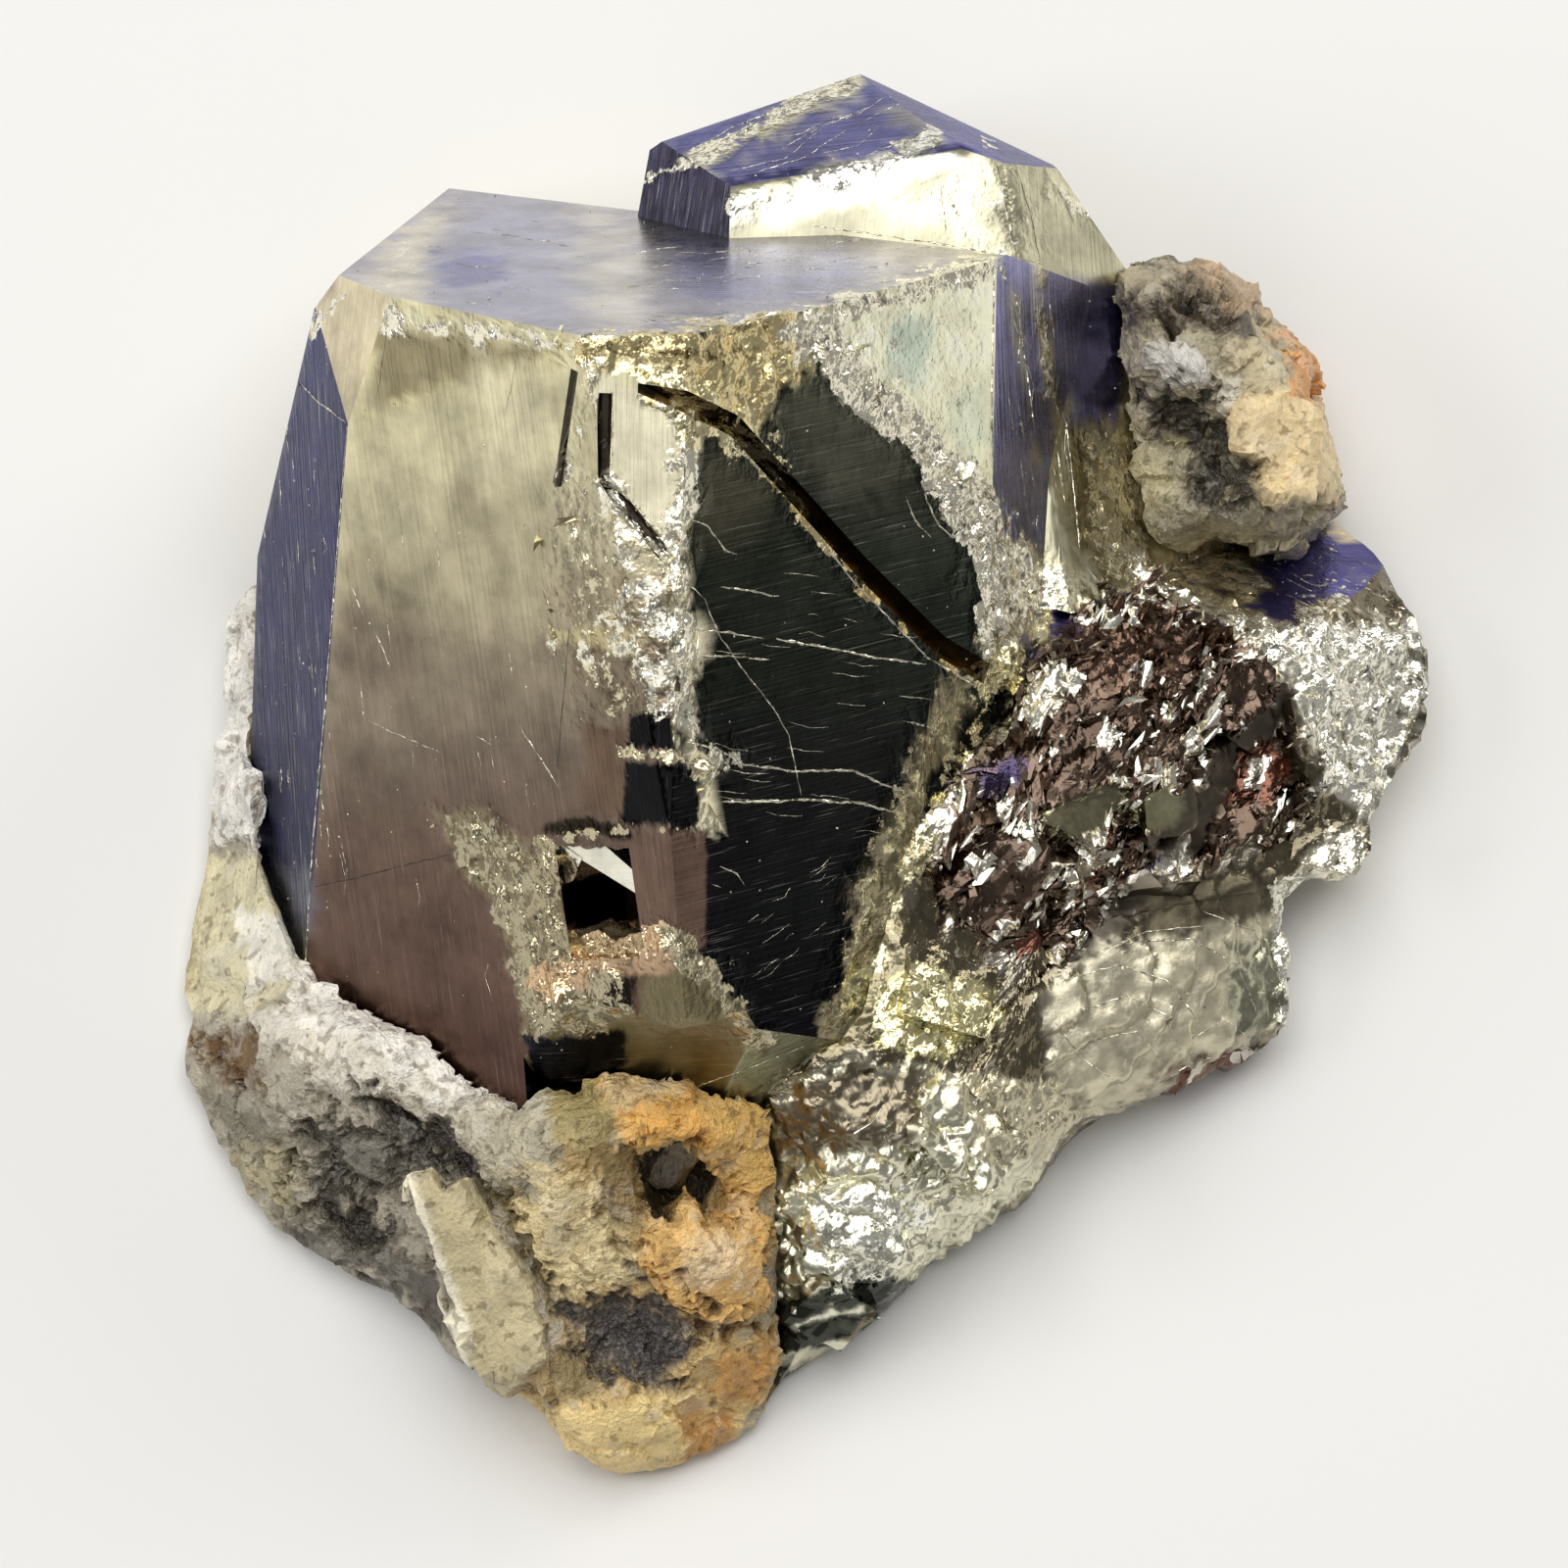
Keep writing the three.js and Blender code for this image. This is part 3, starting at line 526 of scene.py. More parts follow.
    dict(crumbs, path=[(700, 970), (732, 1006), (752, 1040), (768, 1062)], width=18, tint=(156, 146, 116)),
    # dark bar: painted shade in the gap above the notch
    dict(smooth, path=[(560, 846), (600, 842), (640, 852)], width=14, tint=(46, 40, 30), soft=3, wobble=3),
    # walls of the furrows and slits: their dark tints are painted shade
    dict(smooth, path=furrow, width=60, tint=(44, 38, 28), on=("shattered",), gloss=0.4),
    dict(smooth, path=[(x - 8, y + 10) for x, y in furrow], width=12, tint=(150, 116, 62), on=("shattered",), soft=5,
         gloss=0.35),
    dict(smooth, path=[(591, 370), (580, 440), (570, 500)], width=34, tint=(112, 106, 92), on=("shattered",), gloss=0.4),
    dict(smooth, path=[(626, 400), (602, 490), (640, 530), (690, 580)], width=34, tint=(56, 50, 42), on=("shattered",),
         gloss=0.4),
]

# Bright broken crust along margins and on worn places: where, how much of the place it covers, colour
crustColour = (255, 250, 228)
crustPatches = [
    dict(path=[(594, 358), (653, 348), (759, 336), (832, 325), (875, 315), (958, 290), (1008, 270)], width=30, crust=0.75),
    dict(path=[(386, 326), (495, 340), (545, 347), (594, 360)], width=16, crust=0.75, soft=14),
    dict(area=[(588, 356), (660, 347), (760, 337), (838, 326), (850, 345), (836, 375), (800, 402), (764, 448), (700, 418),
               (640, 374)], crust=0.52, tint=(232, 214, 160)),
    dict(path=[(836, 350), (880, 398), (930, 440), (970, 486), (1000, 530), (1018, 600), (1022, 690)], width=46,
         crust=0.85),
    dict(area=[(925, 440), (1012, 478), (1036, 560), (1052, 640), (1040, 694), (1000, 700), (1000, 640), (980, 570),
               (950, 520)], crust=0.62, wobble=16),
    dict(area=[(846, 330), (1008, 280), (1010, 474), (960, 470), (900, 410)], crust=0.32, on=("rightBevel",)),
    dict(path=[(700, 430), (708, 480), (692, 540), (692, 600), (696, 680), (704, 752)], width=22, crust=0.78, soft=20),
    dict(area=[(566, 480), (606, 486), (690, 580), (698, 700), (690, 752), (640, 735), (590, 742), (570, 620)], crust=0.42,
         tint=(226, 216, 184), soft=40),
    dict(area=[(640, 560), (694, 580), (700, 680), (700, 750), (666, 720), (650, 640)], crust=0.5, soft=30),
    dict(path=[(566, 652), (600, 648), (640, 660)], width=24, crust=0.5),
    dict(path=[(702, 758), (724, 770), (756, 780)], width=22, crust=0.55),
    dict(path=[(600, 384), (588, 440), (576, 500)], width=16, crust=0.45, soft=14),
    dict(path=[(612, 492), (650, 540), (690, 584)], width=20, crust=0.6, soft=16),
    dict(path=[(x - 9, y + 12) for x, y in furrow], width=10, crust=0.8, tint=(232, 206, 140), soft=10, wobble=4),
    dict(path=[(x + 12, y - 10) for x, y in furrow[:4]], width=14, crust=0.55, tint=(240, 226, 178), soft=14),
    dict(area=[(664, 392), (700, 402), (800, 450), (810, 486), (770, 476), (700, 440)], crust=0.55, tint=(240, 228, 184)),
    dict(path=[(1000, 700), (966, 716), (940, 770), (914, 828), (890, 880), (874, 950), (856, 1030)], width=30, crust=0.55,
         tint=(186, 176, 144)),
    dict(path=[(1030, 690), (990, 750), (940, 850), (910, 930), (880, 1010)], width=36, crust=0.5, tint=(236, 226, 180)),
    dict(area=[(440, 826), (484, 820), (524, 850), (562, 866), (574, 930), (600, 975), (640, 990), (652, 1036), (602, 1066),
               (540, 1060), (522, 1013), (502, 934), (462, 884)], crust=0.6, tint=(190, 180, 150)),
    dict(path=[(556, 1000), (600, 970), (660, 956), (700, 966), (722, 992)], width=26, crust=0.95, tint=(240, 206, 164),
         soft=14),
    dict(path=[(700, 966), (736, 1006), (756, 1040), (774, 1062)], width=30, crust=0.6, tint=(196, 186, 156)),
    dict(path=[(640, 768), (676, 770), (714, 780)], width=12, crust=0.8, tint=(226, 214, 178), soft=10),
    dict(path=[(552, 860), (560, 900), (556, 930), (570, 968)], width=26, crust=0.95, tint=(186, 174, 142), soft=14),
    dict(path=[(560, 852), (610, 850), (650, 848), (720, 846)], width=14, crust=0.5, tint=(206, 194, 160), soft=12),
    dict(path=[(670, 180), (760, 136), (852, 88), (882, 73)], width=16, crust=0.75, soft=12),
    dict(path=[(752, 206), (850, 178), (952, 142)], width=20, crust=0.85, tint=(255, 253, 240), soft=14),
    dict(area=[(890, 190), (1010, 160), (1060, 200), (1080, 270), (960, 250)], crust=0.3, on=("rearFront", "rearRight"),
         soft=30),
    dict(path=[(1008, 150), (1050, 176), (1110, 220)], width=12, crust=0.6, soft=10),
    dict(area=[(1020, 540), (1060, 556), (1098, 600), (1060, 664), (1030, 612)], crust=0.75),
    dict(path=[(1056, 276), (1072, 380), (1090, 500), (1104, 590)], width=12, crust=0.55, on=("rightSide",), soft=12),
    dict(area=[(1100, 440), (1176, 440), (1180, 600), (1116, 592)], crust=0.6, tint=(216, 206, 170)),
    dict(path=[(1180, 586), (1214, 604), (1275, 640), (1324, 660), (1407, 650), (1450, 652)], width=30, crust=0.9, soft=18),
    dict(area=[(1180, 574), (1233, 552), (1276, 562), (1296, 598), (1276, 614), (1240, 606), (1205, 592)], crust=0.7,
         tint=(228, 214, 178)),
    dict(area=[(1322, 616), (1372, 610), (1378, 650), (1328, 656)], crust=0.7, tint=(228, 214, 178), soft=16),
    dict(area=[(1280, 560), (1360, 520), (1430, 620), (1330, 630)], crust=0.3, on=("brokenTop",)),
    dict(area=[(1310, 660), (1430, 632), (1462, 690), (1445, 760), (1400, 840), (1344, 806), (1330, 724)], crust=0.72,
         tint=(255, 252, 236), soft=40),
    dict(area=[(1325, 850), (1395, 838), (1404, 880), (1370, 900), (1326, 898)], crust=0.7),
    dict(area=[(888, 1004), (936, 984), (1013, 1000), (1014, 1046), (968, 1082), (900, 1072)], crust=0.7,
         tint=(246, 238, 186)),
    dict(area=[(1060, 1010), (1130, 966), (1200, 936), (1300, 918), (1318, 1031), (1304, 1062), (1240, 1098), (1160, 1134),
               (1100, 1134), (1074, 1090)], crust=0.22, tint=(240, 234, 208), soft=30),
    dict(path=[(1310, 900), (1312, 970), (1314, 1040)], width=26, crust=0.75, tint=(244, 242, 224)),
    dict(area=[(960, 1092), (1080, 1110), (1140, 1136), (1070, 1184), (1004, 1180)], crust=0.5, tint=(216, 208, 178),
         soft=30),
    # bright crust on the same spot adds to its painted highlight
    dict(area=[(820, 1230), (900, 1200), (950, 1230), (910, 1310), (850, 1320)], crust=0.5, tint=(255, 254, 240), soft=40),
    dict(area=[(430, 215), (350, 297), (400, 322), (450, 300)], crust=0.3, on=("top",), soft=40),
    dict(path=[(303, 362), (330, 324), (352, 300)], width=12, crust=0.6, soft=10),
]

# How fine the mesh is where the front is broken: longest edge in mm, outline in the front view
fineAreas = [
    (0.21, [(750, 1060), (860, 1050), (960, 1070), (1090, 1120), (1100, 1170), (900, 1350), (765, 1460)]),
    (0.33, [(1184, 560), (1091, 606), (1046, 660), (1030, 710), (985, 750), (935, 800), (885, 900), (850, 1000),
            (840, 1070), (1080, 1110), (1050, 1010), (1300, 890), (1420, 900), (1470, 700), (1440, 600), (1380, 620),
            (1275, 600)]),
    (0.31, [(1040, 1010), (1300, 880), (1330, 920), (1330, 1070), (1110, 1170), (960, 1090)]),
    (0.24, [(584, 340), (840, 315), (1000, 262), (1010, 290), (850, 400), (780, 460), (720, 450), (690, 580), (600, 500),
            (590, 400)]),
    (0.3, [(560, 480), (620, 480), (700, 580), (724, 860), (630, 860), (560, 680)]),
    (0.24, [(830, 350), (940, 430), (1030, 490), (1060, 620), (1040, 700), (990, 700), (970, 520)]),
    (0.28, [(430, 815), (730, 835), (780, 1075), (640, 1125), (520, 1125), (500, 940)]),
]

# Two slits beside the worn edge, filled by this share of their depth
slits = {"paths": ([(594, 360), (580, 440), (566, 510)], [(630, 392), (602, 490), (640, 530), (700, 590)]), "width": 50,
         "fill": 0.72}


def lookDown(stops, y):
    levels = [stop[0] for stop in stops]
    tints = np.array([colour(*stop[1:]) for stop in stops])
    return np.stack([np.interp(y, levels, tints[:, k]) for k in range(3)], 1)


# Share of a patch at every point, with an uneven margin
def share(patch, spots, uneven):
    reach = beside(spots, patch["path"], patch["width"]) if "path" in patch else inside(spots, patch["area"])
    part = np.clip((reach + patch.get("wobble", 8) * uneven) / patch.get("soft", 6) + 0.5, 0, 1)
    return part * part * (3 - 2 * part)


def unevenness(points):
    return waves(points, 1.7, 11) + 0.8 * waves(points, 0.6, 12) + 0.5 * waves(points, 0.25, 13)


def nameFaces(points, tris):
    corners = points[tris]
    cross = np.cross(corners[:, 1] - corners[:, 0], corners[:, 2] - corners[:, 0])
    normal = cross / np.maximum(np.linalg.norm(cross, axis=1, keepdims=True), 1e-12)
    centre = corners.mean(1)
    names = list(crystalFaces) + list(slotFaces) + ["shattered"]
    tags = np.full(len(tris), len(names) - 1)
    for n, name in enumerate(crystalFaces):
        turn, rise, at = crystalFaces[name]
        lies = np.abs((centre - np.array(at)) @ facing(turn, rise)) < 0.12
        tags[(normal @ facing(turn, rise) > 0.998) & lies] = n
    nearSlot = np.linalg.norm(centre - slotPlace["centre"], axis=1) < slotPlace["reach"]
    for n, name in enumerate(slotFaces):
        fits = (normal @ facing(*slotFaces[name]) > 0.97) & nearSlot & (tags == len(names) - 1)
        tags[fits] = len(crystalFaces) + n
    return names, tags


# Longest edges in mm on broken sides and on plain faces, and the angle of a sharp edge
pyriteShape = {"side": 0.7, "plain": 1.25, "sharp": 50}
# Broken facets are drawn out along the broken crystal's diagonal; ripples lie round the start of the shell-like break
bladed = np.array([[0.24, -0.8, 0], [0.36, 0.55, 0], [0, 0, 1.0]])
glintTint = (226, 221, 206)
shellShape = {"centre": (9.6, -6.4), "step": 1.7, "height": 0.3}


def makePyrite():
    points, tris = solidOf("pyrite")
    names, tags = nameFaces(points, tris)

    def lengthAt(spots, front):
        view = seen(spots)
        length = np.full(len(spots), pyriteShape["plain"])
        for longest, area in fineAreas:
            there = inside(view, area, 10) > -6
            length[there] = np.minimum(length[there], np.where(front[there], longest, pyriteShape["side"]))
        height = laidDown(spots)[:, 2] * 1000
        return np.where(height < 0.02, 5, np.maximum(length, np.where(height < 0.5, 0.5, 0)))

    points, tris, tags = refine(points, tris, tags, lengthAt)
    print("pyrite mesh", len(tris))
    view, uneven = seen(points), unevenness(points)
    planes = [(facing(*crystalFaces[name][:2]), np.array(crystalFaces[name][2])) for name in ("left", "edge", "right")]
    deep = np.stack([(at - points) @ out for out, at in planes], 1)
    nearest = np.array([out for out, at in planes])[deep.argmin(1)]
    for path in slits["paths"]:
        there = (beside(view, path, slits["width"]) > 0) & (deep.min(1) < 3)
        fill = slits["fill"] * np.clip(deep.min(1), 0, None) * there
        points = points + fill[:, None] * nearest
    normal = vertexNormals(points, tris)
    shattered = np.zeros(len(points))
    shattered[tris[tags == len(names) - 1].ravel()] = 1
    ways = {"grain": 0.4, "glint": 0.3, "foil": 0.35, "big": 0.1, "swirl": 0, "shards": 0, "crust": 0.2}
    laid = {key: value * shattered for key, value in ways.items()}

    corner = tris.ravel()
    cornerTag = np.repeat(tags, 3)
    cornerView = view[corner]
    tint = np.zeros((len(corner), 3))
    gloss, stria = np.zeros(len(corner)), np.zeros(len(corner))
    uv = np.zeros((len(corner), 2))
    for n, name in enumerate(names):
        mine = cornerTag == n
        stops, rough, run, lines = shatteredLook if name == "shattered" else faceLook.get(name, plainLook)
        tint[mine] = lookDown(stops, cornerView[mine, 1])
        # faces out of view get clouds of painted blue and cream reflection
        if name in crystalFaces and name not in faceLook:
            cloud = waves(points[corner[mine]], unseenPaintedReflection["size"], 15) + 0.3 * uneven[corner[mine]]
            for key, low, high in (("tint", 0.05, 0.5), ("cream", -0.1, -0.5)):
                part = np.clip((cloud - low) / (high - low), 0, 1)[:, None]
                tint[mine] += 0.8 * part * (colour(*unseenPaintedReflection[key]) - tint[mine])
        gloss[mine], stria[mine] = rough, lines
        turn, rise = crystalFaces[name][:2] if name in crystalFaces else slotFaces.get(name, (20, -5))
        out = facing(turn, rise)
        wanted = np.array([math.cos(math.radians(run)), math.sin(math.radians(run)), 0])
        along = wanted - (wanted @ out) * out
        along /= np.linalg.norm(along)
        uv[mine] = points[corner[mine]] @ np.stack([along, np.cross(out, along)], 1)

    def tagsOf(patch):
        return [names.index(name) for name in patch["on"]]

    front = normal[:, 2] > -0.35
    for patch in pyritePatches:
        part = share(patch, view, uneven) * front
        mine = np.nonzero(part[corner] > 0.002)[0]
        if "on" in patch:
            mine = mine[np.isin(cornerTag[mine], tagsOf(patch))]
            held = np.zeros(len(points))
            held[corner[mine]] = part[corner[mine]]
            part = held
        cornerPart = part[corner[mine]]
        tint[mine] += cornerPart[:, None] * (colour(*patch["tint"]) - tint[mine])
        gloss[mine] += cornerPart * (patch.get("gloss", 0.24) - gloss[mine])
        stria[mine] *= 1 - 0.8 * cornerPart * patch.get("grain", 0)
        for key, array in laid.items():
            array += part * (patch.get(key, 0) - array)
    crustTint = np.tile(colour(*crustColour), (len(points), 1))
    for patch in crustPatches:
        part = share(dict({"soft": 26, "wobble": 10}, **patch), view, uneven) * (normal[:, 2] > 0.02)
        if "on" in patch:
            held = np.zeros(len(points), bool)
            held[corner[np.isin(cornerTag, tagsOf(patch))]] = True
            part = part * held
        laid["crust"] = np.maximum(laid["crust"], part * patch["crust"])
        crustTint += (part > 0.02)[:, None] * (colour(*patch.get("tint", crustColour)) - crustTint)

    def rings(some):
        rim = np.hypot(*(some[:, :2] - shellShape["centre"]).T) / shellShape["step"]
        return (rim + 0.9 * waves(some, 3.0, 31) + 0.25 * waves(some, 1.0, 32)) % 1

    def folds(some):
        ring = rings(some)
        ripple = np.where(ring < 0.8, ring / 0.8, (1 - ring) / 0.2)
        return shellShape["height"] * ripple + 0.12 * crumple(some, 2.4, 35) + 0.07 * crumple(some, 0.9, 36)

    def breaks(some):
        return 1.2 * facets(some @ bladed, 1.5, 41, 1.1)[0] + 0.9 * facets(some @ bladed, 0.6, 51, 1.1)[0]

    def creases(some):
        return 0.5 * crumple(some, 1.5, 61) + 0.45 * crumple(some, 0.6, 71)

    def pits(some):
        return 0.05 * waves(some, 0.3, 81)

    shell = np.nonzero(laid["swirl"][corner] > 0.2)[0]
    ring = rings(points[corner[shell]])
    tint[shell] *= np.where(ring > 0.84, 0.6, 0.78 + 0.25 * ring)[:, None]

    centre = points[tris].mean(1)
    rough = laid["big"][tris].mean(1)
    there = np.nonzero(rough > 0.03)[0]
    picks = [facets(centre[there] @ bladed, size, seed, 1.1)[1] for size, seed in ((1.5, 41), (0.6, 51))]
    shade = 0.35 + 0.7 * picks[0] + 0.6 * picks[1]
    # bright facets are painted glints
    bright = (picks[1] < 0.5 * laid["glint"][tris[there]].mean(1)) | (picks[0] > 0.94)
    faceTint = tint.reshape(-1, 3, 3)
    full = np.clip(rough[there] * 2, 0, 1)[:, None, None]
    broken = np.where(bright[:, None, None], colour(*glintTint), faceTint[there] * shade[:, None, None])
    faceTint[there] += full * (broken - faceTint[there])
    tint = faceTint.reshape(-1, 3)

    rise = np.zeros(len(points))
    for key, height in (("swirl", folds), ("big", breaks), ("foil", creases), ("grain", pits)):
        there = laid[key] > 0.01
        rise[there] += laid[key][there] * height(points[there])
    high = laidDown(points)[:, 2] * 1000 > 0.3
    points = points + (rise * high)[:, None] * normal
    low = laidDown(points)
    low[:, 2] = np.maximum(low[:, 2], 0)
    points = upright(low)
    clean = (laid["grain"] < 0.1) & (normal[:, 2] > -0.2)
    values = {"grain": laid["grain"], "glint": laid["glint"], "gloss": gloss, "stria": stria, "crust": laid["crust"],
              "shards": laid["shards"] * high, "dust": clean * high * 1.0}
    colours = {"tint": tint, "crustTint": crustTint}
    return meshOf("pyriteCrystals", points, tris, values, colours, uv, pyriteShape["sharp"])


# Shader sockets with arithmetic

class Wire:
    def __init__(self, tree, socket=None):
        self.tree, self.socket = tree, socket

    def make(self, kind, settings, inputs, out=0):
        node = self.tree.nodes.new(kind)
        for key, value in settings.items():
            setattr(node, key, value)
        for key, value in inputs.items():
            if isinstance(value, Wire):
                self.tree.links.new(value.socket, node.inputs[key])
            else:
                node.inputs[key].default_value = value
        return Wire(self.tree, node.outputs[out]) if node.outputs else None

    def calc(self, operation, *terms):
        return self.make("ShaderNodeMath", {"operation": operation}, dict(enumerate(terms)))

    def __add__(self, other): return self.calc("ADD", self, other)
    def __radd__(self, other): return self.calc("ADD", other, self)
    def __sub__(self, other): return self.calc("SUBTRACT", self, other)
    def __rsub__(self, other): return self.calc("SUBTRACT", other, self)
    def __mul__(self, other): return self.calc("MULTIPLY", self, other)
    def __rmul__(self, other): return self.calc("MULTIPLY", other, self)
    def __lt__(self, other): return self.calc("LESS_THAN", self, other)

    def clamped(self):
        return self.make("ShaderNodeClamp", {}, {0: self})

    def between(self, low, high):
        return self.make("ShaderNodeMapRange", {"interpolation_type": "SMOOTHSTEP"},
                         {0: self, 1: low, 2: high, 3: 0.0, 4: 1.0})

    def attribute(self, name, out="Fac"):
        return self.make("ShaderNodeAttribute", {"attribute_name": name}, {}, out)

    def noise(self, vector, scale, detail, rough, dimensions="3D"):
        return self.make("ShaderNodeTexNoise", {"noise_dimensions": dimensions},
                         {"Vector": vector, "Scale": scale, "Detail": detail, "Roughness": rough})

    def scaled(self, vector, amounts):
        return self.make("ShaderNodeVectorMath", {"operation": "MULTIPLY"}, {0: vector, 1: amounts})

    def blend(self, factor, first, second, kind="MIX"):
        return self.make("ShaderNodeMix", {"data_type": "RGBA", "blend_type": kind}, {0: factor, 6: first, 7: second}, 2)

    # Broken grains: each cell has its own tilt (as a height) and two chances
    def grains(self, vector, size, dimensions="3D"):
        spread = self.scaled(vector, (1 / size, 1 / size, 1 / size))
        cell = self.make("ShaderNodeTexVoronoi", {"voronoi_dimensions": dimensions},
                         {"Vector": spread, "Scale": 1.0}, "Position")
        pick = Wire(self.tree, cell.socket.node.outputs["Color"])
        away = self.make("ShaderNodeVectorMath", {"operation": "SUBTRACT"}, {0: spread, 1: cell})
        lean = self.make("ShaderNodeVectorMath", {"operation": "SUBTRACT"}, {0: pick, 1: (0.5, 0.5, 0.5)})
        height = self.make("ShaderNodeVectorMath", {"operation": "DOT_PRODUCT"}, {0: away, 1: lean}, "Value")
        odds = self.make("ShaderNodeSeparateColor", {}, {0: pick}, 0)
        other = Wire(self.tree, odds.socket.node.outputs[1])
        return height, odds, other


def newMaterial(name):
    material = bpy.data.materials.new(name)
    material.use_nodes = True
    material.node_tree.nodes.clear()
    return material, Wire(material.node_tree)


def finishWith(w, shader):
    w.make("ShaderNodeOutputMaterial", {}, {"Surface": shader})


def grey(w, value):
    return w.make("ShaderNodeCombineColor", {}, {0: value, 1: value, 2: value})


# crumbling: how ragged the crust's edge is, matt: how far it is from metal, crumb: size of its grains in mm
pyriteFinish = {"bright": (0.86, 0.84, 0.74), "crumbling": 1.7, "matt": 0.12, "crumb": 0.42}


def pyriteMaterial():
    material, w = newMaterial("tarnishedPyrite")
    place = w.make("ShaderNodeTexCoord", {}, {}, "Object")
    lengthwise = w.make("ShaderNodeUVMap", {"uv_map": "along"}, {})
    tint, grain = w.attribute("tint", "Color"), w.attribute("grain")
    gloss, stria = w.attribute("gloss"), w.attribute("stria")
    broad = w.noise(place, 380.0, 3.0, 0.62)
    small = w.noise(place, 2600.0, 2.0, 0.6)
    lines = w.noise(w.scaled(lengthwise, (0.09, 5.5, 1)), 1.0, 3.0, 0.62, "2D")
    hair = w.noise(w.scaled(lengthwise, (0.35, 17.0, 1)), 1.0, 2.0, 0.6, "2D")

    broken = (grain + (small - 0.5) * 0.6).between(0.2, 0.75)
    value = 0.14 + broad * 1.42 + small * 0.3
    striped = value * (1 + stria * ((lines - 0.5) * 1.3 + (hair - 0.5) * 0.6))
    face = w.blend(1.0, tint, grey(w, striped), "MULTIPLY")
    scuff = hair.between(0.6, 0.74) * stria * lines.between(0.5, 0.6) * 0.6
    face = w.blend(scuff, face, (*pyriteFinish["bright"], 1))
    rubble = w.blend(1.0, tint, grey(w, 0.5 + small), "MULTIPLY")
    base = w.blend(broken, face, rubble)

    crumble = w.noise(place, 1000.0, 4.0, 0.72)
    chips = w.noise(place, 1900.0, 2.0, 0.7)
    worn = w.attribute("crust")
    crust = (worn + (crumble - 0.5) * pyriteFinish["crumbling"]).between(0.46, 0.54)
    shift = w.make("ShaderNodeCombineXYZ", {}, {0: small, 1: chips})
    bent = w.make("ShaderNodeVectorMath", {"operation": "ADD"}, {0: lengthwise, 1: w.scaled(shift, (0.4, 0.4, 0))})
    leans, odds = w.grains(bent, pyriteFinish["crumb"], "2D")[:2]
    lightness = chips.between(0.3, 0.46) * 0.6 + odds * 0.15 + 0.25
    chipped = w.blend(1.0, w.attribute("crustTint", "Color"), grey(w, lightness), "MULTIPLY")

    relief = lines * 0.25 * stria + small * (0.03 + broken * 0.3)
    looks = []
    for tone, height, dull, metal in ((base, relief * (1 - worn) + worn * chips * 0.9, 1.0, 1.0),
                                      (chipped, worn * (chips * 0.9 + leans * 1.6), 0.65, 1 - pyriteFinish["matt"])):
        bump = w.make("ShaderNodeBump", {}, {"Strength": 0.7, "Distance": 0.0003, "Height": height})
        rough = (gloss * dull + (small - 0.5) * 0.2).clamped()
        looks.append(w.make("ShaderNodeBsdfPrincipled", {}, {"Base Color": tone, "Metallic": metal, "Roughness": rough,
                                                             "Normal": bump}))
    finishWith(w, w.make("ShaderNodeMixShader", {}, {0: crust, 1: looks[0], 2: looks[1]}))
    return material


def splinterMaterial():
    material, w = newMaterial("brokenPyrite")
    place = w.make("ShaderNodeTexCoord", {}, {}, "Object")
    tint, pick, glint = w.attribute("tint", "Color"), w.attribute("pick"), w.attribute("glint")
    small = w.noise(place, 2600.0, 2.0, 0.6)
    base = w.blend(1.0, tint, grey(w, 0.4 + pick * 0.7 + small * 0.5), "MULTIPLY")
    # shards below the glint share are painted bright as glints
    base = w.blend((pick < glint) * 0.9, base, (*pyriteFinish["bright"], 1))
    bump = w.make("ShaderNodeBump", {}, {"Strength": 0.25, "Distance": 0.0002, "Height": small})
    rough = 0.1 + small * 0.3
    finishWith(w, w.make("ShaderNodeBsdfPrincipled", {}, {"Base Color": base, "Metallic": 1.0, "Roughness": rough,
                                                          "Normal": bump}))
    return material


# Rock

